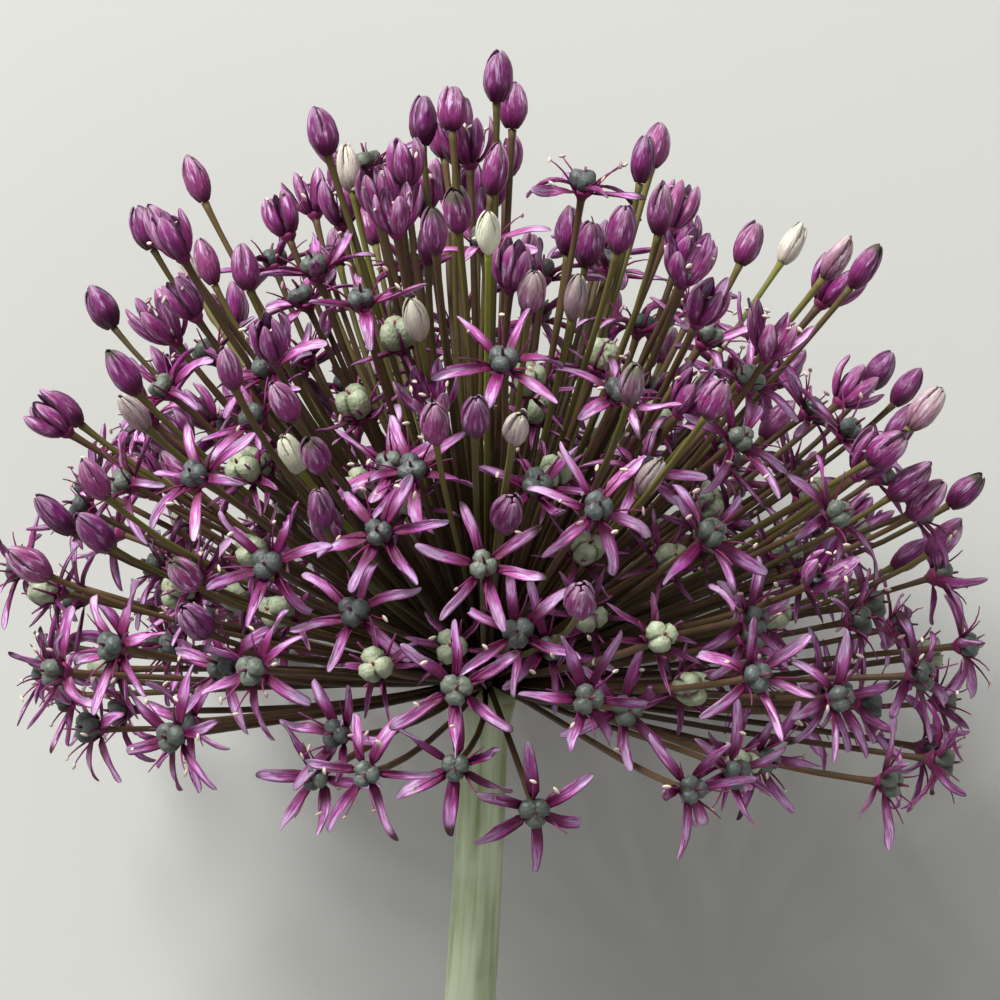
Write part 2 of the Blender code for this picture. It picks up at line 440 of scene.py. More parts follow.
class Sleeve:
    """Closed tube of rings, from which blades, tubes, shells and lobes are all made."""

    FIELDS = ("along", "across", "up", "girth", "blade")

    def __init__(self) -> None:
        """Starts an empty mesh with the fields that the finishes and trees read."""
        self.bm = bmesh.new()
        self.fields = {name: self.bm.verts.layers.float.new(name) for name in self.FIELDS}
        self.tiles = self.bm.loops.layers.uv.new(TILE_MAP)

    def grow(
        self,
        rows: Sequence[float],
        ring: Ring,
        place: Callable[[float, float, float], Vector],
        girth: Girth = lambda along: 1.0,
        blade: float = 0.0,
        tile: Tile = (0, 0, 1, 1),
    ) -> None:
        """Adds one closed tube.

        Args:
            rows: Shares along the tube; the first and last are its two end points.
            ring: Places across and up of one ring's corners, each from -1 to 1.
            place: Point for a share along, a place across and a place up.
            girth: Width of the tube at a share along.
            blade: Number kept on the vertices, to tell the tubes of one mesh apart.
            tile: Left, bottom, width and height of the tube's tile.
        """
        rings = []
        for row, along in enumerate(rows):
            is_end = row in (0, len(rows) - 1)
            made = []
            for across, up in [(0.0, 0.0)] if is_end else ring:
                vert = self.bm.verts.new(place(along, across, up))
                values = (along, across, up, girth(along), blade)
                for name, value in zip(self.FIELDS, values):
                    vert[self.fields[name]] = value
                made.append(vert)
            rings.append(made)
        for row, pair in enumerate(zip(rings, rings[1:])):
            for corner in range(len(ring)):
                self._add_face(pair, row, corner, len(rows) - 1, len(ring), tile)

    def _add_face(
        self,
        pair: tuple[Sequence[bmesh.types.BMVert], Sequence[bmesh.types.BMVert]],
        row: int,
        corner: int,
        rows: int,
        corners: int,
        tile: Tile,
    ) -> None:
        """Adds the face between two rings at one corner, with its place on the tile.

        Args:
            pair: Vertices of the lower and the upper ring.
            row: Number of the lower ring.
            corner: Number of the corner where the face starts.
            rows: Steps between the tube's two ends.
            corners: Corners of a ring.
            tile: Left, bottom, width and height of the tube's tile.
        """
        left, bottom, width, height = tile
        low, high = pair
        spots = ((row, corner), (row + 1, corner), (row + 1, corner + 1), (row, corner + 1))
        found: dict[bmesh.types.BMVert, tuple[float, float]] = {}
        for (step, turn), made in zip(spots, (low, high, high, low)):
            vert = made[turn % corners] if len(made) > 1 else made[0]
            turn = turn if len(made) > 1 else corner + 0.5
            spot = (left + width * step / rows, bottom + height * turn / corners)
            found.setdefault(vert, spot)
        face = self.bm.faces.new(list(found))
        for loop, spot in zip(face.loops, found.values()):
            loop[self.tiles].uv = spot

    def finish(self, name: str) -> Mesh:
        """Closes the mesh with its faces pointing outwards.

        Args:
            name: Name of the mesh.

        Returns:
            The mesh.
        """
        bmesh.ops.recalc_face_normals(self.bm, faces=self.bm.faces)
        for face in self.bm.faces:
            face.smooth = True
        mesh = bpy.data.meshes.new(name)
        self.bm.to_mesh(mesh)
        self.bm.free()
        return mesh


def round_ring(sides: int) -> Ring:
    """Corners of an even round ring."""
    angles = [2 * math.pi * side / sides for side in range(sides)]
    return [(math.cos(angle), math.sin(angle)) for angle in angles]


# Upper side from edge to edge with a groove along the middle, then the keeled lower side.
BLADE_TOP = ((-1.0, 0.0), (-0.5, 0.8), (0.0, 0.4), (0.5, 0.8))
BLADE_RING = (*BLADE_TOP, (1.0, 0.0), (0.5, -0.8), (0.0, -1.2), (-0.5, -0.8))


def rows_between(count: int, crowding: float) -> list[float]:
    """Shares along a tube whose rings crowd towards its tip.

    Args:
        count: Rings between the two ends.
        crowding: 1 for even rings, more to crowd them.

    Returns:
        The shares, ends included.
    """
    return [1 - (1 - step / (count + 1)) ** crowding for step in range(count + 2)]


def make_template(name: str, ring: Ring, rows: Sequence[float], girth: Girth) -> Object:
    """Straight blade or tube, which the sweeping tree bends.

    Args:
        name: Name of the template.
        ring: Corners of a ring.
        rows: Shares along it.
        girth: Its width at a share along.

    Returns:
        The template's object.
    """
    sleeve = Sleeve()

    def place(along: float, across: float, up: float) -> Vector:
        """Point of the straight template."""
        return Vector((along, across * girth(along), up * girth(along)))

    sleeve.grow(rows, ring, place, girth)
    for vert in sleeve.bm.verts:
        along = vert[sleeve.fields["along"]]
        vert[sleeve.fields["up"]] *= 0 if along in (rows[0], rows[-1]) else girth(along)
    return add_object(name, sleeve.finish(name))


def tepal_girth(base: float, bulge: float, blunt: float) -> Girth:
    """Width of a tepal along its length.

    Args:
        base: Width at the claw as a share of the widest.
        bulge: Power that moves the widest place; 1 puts it in the middle.
        blunt: Power of the tip; more is blunter.

    Returns:
        Function from a share along to a width.
    """

    def girth(along: float) -> float:
        """Width at one place."""
        body = base + (1 - base) * math.sin(math.pi * min(1, along**bulge))
        return max(LEAST_GIRTH, body * math.sqrt(max(0, 1 - along**blunt)))

    return girth


@dataclass
class Strand:
    """One curve that a template is bent along, with what its finish reads."""

    points: Bend
    side: Vector
    half_width: float
    half_depth: float
    wrap: float = 0.05
    roll: float = 0.0
    twist: float = 0.0
    wave: float = 0.0
    tone: float = 0.5
    dry: float = 0.0
    young: float = 0.0

    VECTORS = ("start", "lean_out", "lean_in", "end", "side")
    SHAPES = ("half_width", "half_depth", "wrap", "roll", "twist", "wave")
    NUMBERS = (*SHAPES, "tone", "dry", "young")

    def moved(self, place: Matrix) -> "Strand":
        """Moves the strand to another frame, and keeps it above the floor.

        Args:
            place: Matrix to that frame.

        Returns:
            The same strand, changed.
        """
        self.points = tuple(place @ point for point in self.points)
        for point in self.points:
            point.z = max(point.z, FLOOR_GAP)
        self.side = place.to_3x3() @ self.side
        return self


@dataclass
class Stance:
    """Where one shape stands, with what its finish reads."""

    place: Matrix
    variant: int
    scale: Vector
    tone: float
    dry: float
    young: float

    NUMBERS = ("tone", "dry", "young")


def make_cloud(name: str, places: Sequence[Vector], fields: dict[str, tuple]) -> Object:
    """Points that carry what the trees and the finishes read.

    Args:
        name: Name of the piece that grows from them.
        places: The points.
        fields: Type and values of each attribute, by its name.

    Returns:
        The object.
    """
    mesh = bpy.data.meshes.new(name)
    mesh.from_pydata(places, [], [])
    for key, (kind, rows) in {**fields, "number": ("FLOAT", range(len(places)))}.items():
        is_single = kind in ("FLOAT", "INT")
        flat = list(rows) if is_single else [part for row in rows for part in row]
        field = mesh.attributes.new(key, kind, "POINT")
        field.data.foreach_set("vector" if kind == "FLOAT_VECTOR" else "value", flat)
    return add_object(name, mesh)


def number_fields(marks: Sequence[Strand | Stance], keys: Sequence[str]) -> dict[str, tuple]:
    """Plain numbers of strands or stances as attributes for make_cloud."""
    return {key: ("FLOAT", [getattr(mark, key) for mark in marks]) for key in keys}


def strand_cloud(name: str, strands: Sequence[Strand]) -> Object:
    """Points that carry the strands' values.

    Args:
        name: Name of the piece that grows from them.
        strands: The strands.

    Returns:
        The object.
    """
    columns = zip(*((*strand.points, strand.side) for strand in strands))
    fields = {key: ("FLOAT_VECTOR", rows) for key, rows in zip(Strand.VECTORS, columns)}
    fields |= number_fields(strands, Strand.NUMBERS)
    return make_cloud(name, [strand.points[0] for strand in strands], fields)


def stance_cloud(name: str, stances: Sequence[Stance]) -> Object:
    """Points that carry the stances' values.

    Args:
        name: Name of the piece that grows from them.
        stances: The stances.

    Returns:
        The object.
    """
    fields = {
        "turn": ("QUATERNION", [stance.place.to_quaternion() for stance in stances]),
        "scale": ("FLOAT_VECTOR", [stance.scale for stance in stances]),
        "variant": ("INT", [stance.variant for stance in stances]),
        **number_fields(stances, Stance.NUMBERS),
    }
    return make_cloud(name, [stance.place.translation for stance in stances], fields)


# The plan of the head


class Age(Enum):
    """How far a floret has come; the value is the half angle that it keeps free."""

    STAR = 7.0
    FADING = 5.5
    CUP = 3.4
    BUD = 2.4


@dataclass(frozen=True)
class Tier:
    """Florets of one age, spread over a band of the head; angles run from its top."""

    age: Age
    count: int
    band: tuple[float, float]
    reach: tuple[float, float]
    bow: tuple[float, float]


@dataclass
class Floret:
    """One floret's place on the head as the part draws it, with angles in radians."""

    age: Age
    facing: Vector
    polar: float
    azimuth: float
    reach: float
    bow: float
    twist: float
    nod: float
    nod_way: float


@dataclass
class Placed:
    """A floret laid down with the head: its frame, its pedicel and its own tints."""

    age: Age
    place: Matrix
    root: Vector
    control: Vector
    end: Vector
    tone: float
    young: float

    def sunk(self, depth: float) -> Matrix:
        """The floret's frame, moved back along its own axis."""
        return self.place @ Matrix.Translation(UP * -depth)


def direction(polar: float, azimuth: float) -> Vector:
    """Unit vector at one angle from the head's top and another round its axis, in radians."""
    around = Vector((math.cos(azimuth), math.sin(azimuth), 0))
    return around * math.sin(polar) + UP * math.cos(polar)


def flat_way(angle: float) -> Vector:
    """Unit vector in a floret's own plane."""
    return direction(math.pi / 2, math.radians(angle))


def tepal_way(number: int, off: float = 0.0) -> Vector:
    """Way out of one of a floret's six tepals, some degrees off its even place."""
    return flat_way(FIRST_TEPAL + 360 / TEPALS * number + off)


# How far out and how far up a floret's solid reaches, past its hub.
SOLID_TIPS = {
    Age.STAR: (6.9 * MM, 0.4 * MM),
    Age.FADING: (5.8 * MM, 0.2 * MM),
    Age.CUP: (0.8 * MM, 5.5 * MM),
    Age.BUD: (0.0, 5.9 * MM),
}


@dataclass(frozen=True)
class HeadPlan:
    """Places of the florets by the part's own rule, and the frame that lays them down."""

    scape_length: float = 110 * MM
    scape_radius: float = 3.25 * MM
    head_height: float = 47 * MM
    head_place: tuple[float, float] = (-0.3 * MM, 14.8 * MM)
    rim_reach: float = 54 * MM
    crown_extra: float = 15 * MM
    receptacle_radius: float = 5.2 * MM
    root_depth: float = 0.62
    root_spread: float = 0.8
    most_twist: float = 60.0
    most_nod: float = 12.0
    whorl_rise: float = 0.18 * MM
    hub_reach: float = 0.52 * MM
    pedicel_inset: float = 0.45 * MM
    turn_up: float = 0.3
    green_from: float = 0.58
    green_gain: float = 1.7
    all_green_from: float = 0.93
    candidates: int = 40
    seed: int = 19903
    tiers: tuple[Tier, ...] = (
        Tier(Age.STAR, 32, (79, 95), (0.95, 1.03), (2, 10)),
        Tier(Age.STAR, 24, (60, 79), (0.84, 0.97), (-3, 7)),
        Tier(Age.STAR, 22, (8, 60), (0.72, 0.94), (-4, 4)),
        Tier(Age.FADING, 10, (72, 94), (0.80, 0.95), (0, 6)),
        Tier(Age.FADING, 16, (18, 72), (0.52, 0.74), (-4, 4)),
        Tier(Age.CUP, 22, (4, 70), (0.86, 1.0), (-4, 4)),
        Tier(Age.BUD, 56, (0, 58), (0.88, 1.03), (-4, 4)),
        Tier(Age.BUD, 15, (58, 78), (0.90, 1.03), (-4, 4)),
    )
    fillers: tuple[Tier, ...] = (
        Tier(Age.STAR, 36, (18, 88), (0.62, 0.88), (-4, 6)),
        Tier(Age.FADING, 26, (12, 86), (0.50, 0.78), (-4, 4)),
        Tier(Age.CUP, 10, (5, 62), (0.74, 0.92), (-4, 4)),
        Tier(Age.BUD, 22, (5, 74), (0.68, 0.92), (-4, 4)),
        Tier(Age.STAR, 16, (78, 96), (0.76, 0.94), (2, 10)),
        Tier(Age.CUP, 12, (0, 40), (0.84, 0.96), (-4, 4)),
        Tier(Age.STAR, 18, (34, 84), (0.54, 0.76), (-4, 4)),
        Tier(Age.FADING, 6, (40, 84), (0.62, 0.80), (-4, 4)),
    )

    def lying(self) -> Matrix:
        """Finds how the flower lies, on the cut end of its scape and on its head.

        Returns:
            Matrix from the flower's own frame to the surface that it lies on.
        """
        span = math.hypot(self.scape_length, self.scape_radius)
        climb = math.asin(self.head_height / span)
        climb -= math.atan2(self.scape_radius, self.scape_length)
        place = Vector((*self.head_place, self.head_height))
        return Matrix.Translation(place) @ Matrix.Rotation(climb - math.pi / 2, 4, "X")

    def _candidate(self, tier: Tier, draw: random.Random) -> Floret:
        """Draws a floret of a tier at an even random place in its band.

        Args:
            tier: The tier.
            draw: Source of the plan's random numbers.

        Returns:
            The floret.
        """
        top, bottom = (math.cos(math.radians(angle)) for angle in tier.band)
        polar = math.acos(draw.uniform(bottom, top))
        azimuth = draw.uniform(0, 2 * math.pi)
        return Floret(
            tier.age,
            direction(polar, azimuth),
            polar,
            azimuth,
            reach=draw.uniform(*tier.reach),
            bow=math.radians(draw.uniform(*tier.bow)),
            twist=draw.uniform(0, math.radians(self.most_twist)),
            nod=math.radians(draw.uniform(0, self.most_nod)),
            nod_way=draw.uniform(0, 2 * math.pi),
        )

    @staticmethod
    def _room(floret: Floret, placed: Sequence[Floret]) -> float:
        """Measures the angle left free between a floret and its nearest neighbour.

        Args:
            floret: The floret.
            placed: Florets that have their places.

        Returns:
            The angle in radians, below 0 where the two are too close.
        """
        nearest = math.pi
        for other in placed:
            apart = math.acos(max(-1, min(1, floret.facing.dot(other.facing))))
            taken = math.radians(floret.age.value + other.age.value)
            nearest = min(nearest, apart - taken)
        return nearest

    def scatter(self) -> list[Floret]:
        """Each floret takes the roomiest of a few random places.

        Returns:
            The part's florets in its order, then the small ones that fill the head.
        """
        draw = random.Random(self.seed)
        placed: list[Floret] = []
        for tier in self.tiers + self.fillers:
            for _ in range(tier.count):
                options = [self._candidate(tier, draw) for _ in range(self.candidates)]
                placed.append(max(options, key=lambda option: self._room(option, placed)))
        return placed

    def _pedicel(self, floret: Floret) -> tuple[Vector, Vector, Vector]:
        """Draws the bend of a pedicel.

        Args:
            floret: The floret that it carries.

        Returns:
            Its root, control and end points in the flower's own frame.
        """
        root_way = direction(floret.polar * self.root_spread, floret.azimuth)
        root = root_way * self.receptacle_radius * self.root_depth
        reach = self.rim_reach + self.crown_extra * max(0, math.cos(floret.polar))
        end = floret.facing * floret.reach * reach
        leaving = direction(floret.polar + floret.bow, floret.azimuth)
        return root, root + leaving * (end - root).length / 2, end

    def _frame(self, floret: Floret, control: Vector, end: Vector) -> Matrix:
        """Turns a floret on the end of its pedicel.

        Args:
            floret: The floret.
            control: Control point of the pedicel's bend.
            end: End of the pedicel.

        Returns:
            Matrix from the floret's own frame, +Z out of its face, to the flower's frame.
        """
        outward = (end - control).normalized()
        if floret.age in (Age.CUP, Age.BUD):
            outward = outward.lerp(UP, self.turn_up)
        turn = outward.to_track_quat("Z", "Y").to_matrix().to_4x4()
        nod_axis = Vector((math.cos(floret.nod_way), math.sin(floret.nod_way), 0))
        nod = Matrix.Rotation(floret.nod, 4, nod_axis)
        return Matrix.Translation(end) @ turn @ nod @ Matrix.Rotation(floret.twist, 4, "Z")

    def _tips(self, age: Age) -> list[Vector]:
        """Finds the outermost points of a floret's solid.

        Args:
            age: Age of the floret.

        Returns:
            The points in the floret's own frame.
        """
        reach, rise = SOLID_TIPS[age]
        lifts = (-self.whorl_rise, self.whorl_rise)
        return [
            tepal_way(number) * (self.hub_reach + reach) + UP * (rise + lifts[number % 2])
            for number in range(TEPALS)
        ]

    def _youth(self, age: Age, share: float) -> float:
        """Finds how green a floret is; only buds are.

        Args:
            age: Age of the floret.
            share: Even random share that is its own.

        Returns:
            0 for ripe to 1 for green.
        """
        if age is not Age.BUD:
            return 0.0
        if share >= self.all_green_from:
            return 1.0
        return max(0.0, share - self.green_from) * self.green_gain

    def lay_down(self, draw: random.Random) -> list[Placed]:
        """Lays the florets down with the head, lifted where they would sink.

        Args:
            draw: Source of each floret's own tints.

        Returns:
            The florets in the part's order.
        """
        lying = self.lying()
        laid = []
        for floret in self.scatter():
            root, control, end = self._pedicel(floret)
            place = lying @ self._frame(floret, control, end)
            sunk = min(0, min((place @ tip).z for tip in self._tips(floret.age)))
            place = Matrix.Translation(UP * -sunk) @ place
            foot = place @ (UP * -self.pedicel_inset)
            # The third share is spare: it keeps the later draws of this source in their places.
            share, tone, _ = (draw.random() for _ in range(3))
            young = self._youth(floret.age, share)
            laid.append(
                Placed(floret.age, place, lying @ root, lying @ control, foot, tone, young)
            )
        return laid


def bent_points(
    start: Vector, way: Vector, opening: float, closing: float, length: float, drift: Vector
) -> Bend:
    """Control points of a curve that leaves and arrives at two angles.

    Args:
        start: Where it starts, in the floret's own frame.
        way: Outward direction in the floret's plane.
        opening: Angle above the plane at its start.
        closing: Angle above the plane at its end.
        length: Its length.
        drift: How far its end is moved.

    Returns:
        The four points.
    """
    ends = [math.radians(angle) for angle in (opening, closing)]
    leave, arrive = (way * math.cos(angle) + UP * math.sin(angle) for angle in ends)
    half_turn = max(1e-4, abs(ends[1] - ends[0]) / 2)
    chord = length * math.sin(half_turn) / half_turn
    mean = sum(ends) / 2
    end = start + (way * math.cos(mean) + UP * math.sin(mean)) * chord + drift
    return start, start + leave * length / 3, end - arrive * length / 3, end


# Finishes


class Skin(Bench):
    """A material under construction, with the fields and patterns that plant finishes read."""

    def __init__(self, name: str) -> None:
        """Starts an empty material of that name."""
        self.material = bpy.data.materials.new(name)
        self.material.use_nodes = True
        super().__init__(self.material.node_tree)

    def _field(self, name: str) -> Wire:
        """Attribute of the mesh as a value."""
        return self.add("ShaderNodeAttribute", {"attribute_name": name}, None, "Fac")

    def fields(self, *names: str) -> list[Wire]:
        """Attributes of the mesh as values."""
        return [self._field(name) for name in names]

    def place(self) -> Wire:
        """Place on the object."""
        return self.add("ShaderNodeTexCoord", outlet="Object")

    def grain(self, place: Wire, scale: float, detail: float = 2.0) -> Wire:
        """Soft noise from 0 to 1, finer with its scale and with its octaves of detail."""
        sockets = {"Vector": place, "Scale": scale, "Detail": detail, "Roughness": 0.6}
        return self.add("ShaderNodeTexNoise", None, sockets, "Fac")

    def tint(self, colour: Wire, value: Wire, more: Values = None) -> Wire:
        """Colour made lighter or darker by a value, and turned by more sockets."""
        sockets = {**(more or {}), "Value": value, "Color": colour}
        return self.add("ShaderNodeHueSaturation", None, sockets)

    def relief(self, height: Wire, depth: float) -> Wire:
        """Fine relief of a height from 0 to 1 and a depth."""
        sockets = {"Height": height, "Distance": depth, "Strength": 1.0}
        return self.add("ShaderNodeBump", None, sockets)

    def finish(self, sockets: Values) -> Material:
        """Joins the shader with these values of its sockets, and returns the material."""
        shader = self.add("ShaderNodeBsdfPrincipled", None, sockets)
        self.add("ShaderNodeOutputMaterial", None, {"Surface": shader})
        return self.material


@dataclass(frozen=True)
class TepalFinish:
    """Satin petal, darker down its middle and at its claw, with painted highlight streaks to the
    tip.
    """

    name: str
    claw: Colour
    middle: Colour
    blade: Colour
    # margin: colour of the painted highlight that streaks the blade
    margin: Colour
    outside: Colour
    withered: Colour
    unripe: Colour = (0.60, 0.60, 0.45)
    tip: Colour = (0.30, 0.26, 0.24)
    tip_strength: float = 0.0
    claw_end: float = 0.32
    vein_strength: float = 0.44
    midrib_strength: float = 0.5
    edge_gleam: float = 0.16
    gleam_start: float = 1.08
    gleam_width: float = 0.40
    rim_strength: float = 0.0
    streak_width: float = 1.3
    painted_highlight: float = 0.9
    sheen: float = 0.06
    sheen_tint: Colour = (0.95, 0.80, 0.95)
    roughness: float = 0.34
    relief: float = 0.22 * MM

    def make(self) -> Material:
        """Builds the finish.

        Returns:
            The material.
        """
        skin = Skin(self.name)
        along, across, up, tone, dry, young, blade = skin.fields(*FINISH_FIELDS)
        edge = across.size()
        shift = tone * 37 + blade * 11
        streaks = skin.grain(skin.vector(along * 1.3, across * self.streak_width, shift), 1.8)
        fine = skin.grain(skin.vector(along * 2.8, across * 4.6, shift), 1.6, 3)
        cloudy = skin.grain(skin.place(), 420)
        # Painted highlight: pale streaks in the margin colour, more of them towards the tip,
        # shifted to the edges by a positive edge_gleam and to the middle by a negative one.
        gleam = streaks * 1.3 + fine * 0.4 + along * 0.46 + edge * self.edge_gleam
        gleam_end = self.gleam_start + self.gleam_width
        painted_highlight_mask = skin.step(gleam, self.gleam_start, gleam_end) * self.painted_highlight
        colour = skin.mix(painted_highlight_mask, self.blade, self.margin)
        outer = skin.step(up, 0.05, -0.3)
        colour = skin.mix(outer * skin.step(streaks, 0.75, 0.35), colour, self.outside)
        rim = skin.step(edge, 0.5, 1.05) * self.rim_strength
        colour = skin.mix(rim, colour, self.middle)
        midrib = skin.step(edge, 0.26, 0.0) * skin.step(along, 1.0, 0.45)
        veins = skin.step(fine, 0.56, 0.40) * skin.step(edge, 1.0, 0.55)
        colour = skin.mix(midrib * self.midrib_strength, colour, self.middle)
        colour = skin.mix(veins * self.vein_strength, colour, self.middle)
        tipped = skin.step(along + streaks * 0.3, 0.8, 1.2) * outer * self.tip_strength
        colour = skin.mix(tipped, colour, self.tip)
        from_claw = along - streaks * 0.25 + tone * 0.28
        claw = skin.step(from_claw, self.claw_end + 0.20, self.claw_end - 0.10)
        colour = skin.mix(claw * 0.94, colour, self.claw)
        dead = skin.step(along + cloudy * 0.25 + dry * 0.62, 1.42, 1.6)
        colour = skin.mix(dead, colour, self.withered)
        green = skin.step(young + fine * 0.25 + along * 0.18 - edge * 0.1, 0.35, 0.95)
        colour = skin.mix(green * 0.95, colour, self.unripe)
        turned = {"Hue": 0.487 + tone * 0.026, "Saturation": 1.08 - tone * 0.12}
        return skin.finish(
            {
                "Base Color": skin.tint(colour, 0.62 + tone * 0.56 + cloudy * 0.18, turned),
                "Roughness": self.roughness + fine * 0.12 + dead * 0.2,
                "Normal": skin.relief(fine * 0.6 + streaks * 0.8, self.relief),
                "Sheen Weight": self.sheen,
                "Sheen Roughness": 0.4,
                "Sheen Tint": self.sheen_tint,
                "Specular IOR Level": 0.34,
            }
        )


@dataclass(frozen=True)
class OvaryFinish:
    """Pimpled waxy flesh that turns from slate to sage as it swells; painted highlight on top and
    lobes.
    """

    name: str = "ovary"
    slate: Colour = (0.023, 0.029, 0.028)
    slate_bloom_and_highlight: Colour = (0.086, 0.103, 0.099)
    sage: Colour = (0.170, 0.210, 0.120)
    sage_bloom_and_highlight: Colour = (0.350, 0.395, 0.265)
    groove: Colour = (0.050, 0.032, 0.028)
    crown: Colour = (0.30, 0.24, 0.13)
    pimple_scale: float = 2600.0
    relief: float = 0.10 * MM

    def make(self) -> Material:
        """Builds the finish.

        Returns:
            The material.
        """
        skin = Skin(self.name)
        along, lobe, tone, young = skin.fields("along", "up", "tone", "young")
        place = skin.place()
        patches = skin.grain(place, 700, 3)
        sockets = {"Vector": place, "Scale": self.pimple_scale, "Smoothness": 1.0}
        pimples = skin.add("ShaderNodeTexVoronoi", {"feature": "SMOOTH_F1"}, sockets, "Distance")
        # Pale wax bloom in patches, plus painted highlight towards the top and on the crests of
        # the lobes.
        bloom = skin.step(patches + along * 0.25 + lobe * 0.25, 0.55, 1.1)
        fresh = skin.mix(bloom, self.slate, self.slate_bloom_and_highlight)
        colour = skin.mix(young, fresh, skin.mix(bloom, self.sage, self.sage_bloom_and_highlight))
        colour = skin.mix(skin.step(lobe, 0.42, 0.08) * 0.75, colour, self.groove)
        colour = skin.mix(skin.step(along, 0.86, 0.99) * young * 0.7, colour, self.crown)
        return skin.finish(
            {
                "Base Color": skin.tint(colour, 0.82 + tone * 0.36),
                "Roughness": 0.42 + patches * 0.2,
                "Normal": skin.relief(1 - pimples + patches * 0.6, self.relief),
                "Specular IOR Level": 0.45,
            }
        )


@dataclass(frozen=True)
class StalkFinish:
    """Smooth stalk whose colour runs from its root to its tip."""

    name: str
    root: Colour
    middle: Colour
    tip: Colour
    unripe: Colour
    bloom: Colour
    roughness: float = 0.42
    relief: float = 0.05 * MM

    def make(self) -> Material:
        """Builds the finish.

        Returns:
            The material.
        """
        skin = Skin(self.name)
        along, across, up, tone, young = skin.fields("along", "across", "up", "tone", "young")
        streaks = skin.grain(skin.vector(along * 5, across * 2.2, up * 2.2 + tone * 31), 1.7, 3)
        mottle = skin.grain(skin.place(), 260, 3)
        lower = skin.step(along + streaks * 0.25 + tone * 0.16, 0.22, 0.62)
        colour = skin.mix(lower, self.root, self.middle)
        upper = skin.step(along + mottle * 0.4 + tone * 0.3, 0.75, 1.3)
        colour = skin.mix(upper, colour, self.tip)
        colour = skin.mix(young * skin.step(along, 0.2, 0.75), colour, self.unripe)
        colour = skin.mix(skin.step(streaks + mottle, 1.0, 1.4) * 0.35, colour, self.bloom)
        return skin.finish(
            {
                "Base Color": skin.tint(colour, 0.72 + tone * 0.5),
                "Roughness": self.roughness + mottle * 0.15,
                "Normal": skin.relief(streaks, self.relief),
                "Specular IOR Level": 0.2,
            }
        )


@dataclass(frozen=True)
class ScapeFinish:
    """Pale waxy skin with fine ribs, rubbed patches, wax bands painted as highlight and a moist
    cut end.
    """

    name: str = "scape skin"
    skin: Colour = (0.170, 0.218, 0.080)
    wax_and_highlight: Colour = (0.440, 0.495, 0.338)
    flush: Colour = (0.260, 0.200, 0.150)
    flesh: Colour = (0.520, 0.560, 0.330)
    core: Colour = (0.640, 0.660, 0.480)
    cell_scale: float = 2600.0
    relief: float = 0.05 * MM

    def make(self) -> Material:
        """Builds the finish.

        Returns:
            The material.
        """
        skin = Skin(self.name)
        along, across, up, flesh, inner = skin.fields("along", "across", "up", "blade", "girth")
        streaks = skin.grain(skin.vector(along * 3, across * 1.2, up * 1.2), 1.6)
        ribs = skin.grain(skin.vector(along * 1.5, across * 9, up * 9), 1.5)
        patches = skin.grain(skin.place(), 60, 3)
        # Wax in patches and in broad bands along the scape; the bands also stand for a painted
        # highlight.
        wax_and_highlight_mask = skin.step(patches * 0.8 + streaks + ribs * 0.08, 0.62, 1.18)
        colour = skin.mix(wax_and_highlight_mask, self.skin, self.wax_and_highlight)
        flushed = skin.step(along + patches * 0.1, 0.12, 0.02) * 0.55
        colour = skin.mix(flushed, colour, self.flush)
        cells = skin.grain(skin.place(), self.cell_scale)
        cut = skin.mix(skin.step(inner + cells * 0.2, 0.95, 0.6), self.flesh, self.core)
        height = ribs * (1 - flesh) * 0.5 + cells * flesh
        return skin.finish(
            {
                "Base Color": skin.mix(flesh, colour, cut),
                "Roughness": 0.4 + patches * 0.22 - flesh * 0.12,
                "Normal": skin.relief(height, self.relief),
                "Specular IOR Level": 0.45,
            }
        )


@dataclass(frozen=True)
class AntherFinish:
    """Dusty pollen sac, split along its side."""

    name: str = "anther"
    sac: Colour = (0.62, 0.53, 0.42)
    split: Colour = (0.30, 0.16, 0.20)
    dust_scale: float = 5200.0
    relief: float = 0.05 * MM

    def make(self) -> Material:
        """Builds the finish.

        Returns:
            The material.
        """
        skin = Skin(self.name)
        across, tone = skin.fields("across", "tone")
        dust = skin.grain(skin.place(), self.dust_scale)
        colour = skin.mix(skin.step(across.size(), 0.35, 0.05) * 0.6, self.sac, self.split)
        aged = skin.step(tone + dust * 0.3, 0.75, 1.1) * 0.8
        return skin.finish(
            {
                "Base Color": skin.mix(aged, colour, self.split),
                "Roughness": 0.7 + dust * 0.2,
                "Normal": skin.relief(dust, self.relief),
            }
        )


# The pieces


@dataclass(frozen=True)
class Nursery:
    """What every sub-assembly is grown with."""

    sweep: SweepTree
    stand: StandTree

    def sweep_piece(
        self, name: str, template: Object, strands: Sequence[Strand], finish: Material
    ) -> Object:
        """Grows one piece along strands and removes the template.

        Args:
            name: Name of the piece.
            template: Template that is bent.
            strands: Curves that it is bent along.
            finish: Material of the piece.

        Returns:
            The piece.
        """
        piece = self.sweep.apply(strand_cloud(name, strands), template, finish)
        bpy.data.objects.remove(template)
        return piece

    def stand_piece(
        self, name: str, shapes: Sequence[Mesh], stances: Sequence[Stance], finish: Material
    ) -> Object:
        """Grows one piece of shapes on points.

        Args:
            name: Name of the piece.
            shapes: Shapes to choose from.
            stances: Where they stand.
            finish: Material of the piece.

        Returns:
            The piece.
        """
        shelf = bpy.data.collections.new(f"{name} shapes")
        bpy.context.scene.collection.children.link(shelf)
        for number, shape in enumerate(shapes):
            shelf.objects.link(bpy.data.objects.new(f"{name} shape {number:02d}", shape))
        piece = self.stand.apply(stance_cloud(name, stances), shelf, finish)
        for shape in list(shelf.objects):
            bpy.data.objects.remove(shape)
        bpy.data.collections.remove(shelf)
        return piece


def hand_over(piece: Object, node: str) -> None:
    """Gives a finished piece to the frame and reports it.

    Args:
        piece: The piece.
        node: The CAD node that it stands for.
    """
    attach(piece, "root")
    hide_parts(node)
    LOG.info("%s: %d faces", piece.name, len(piece.data.polygons))


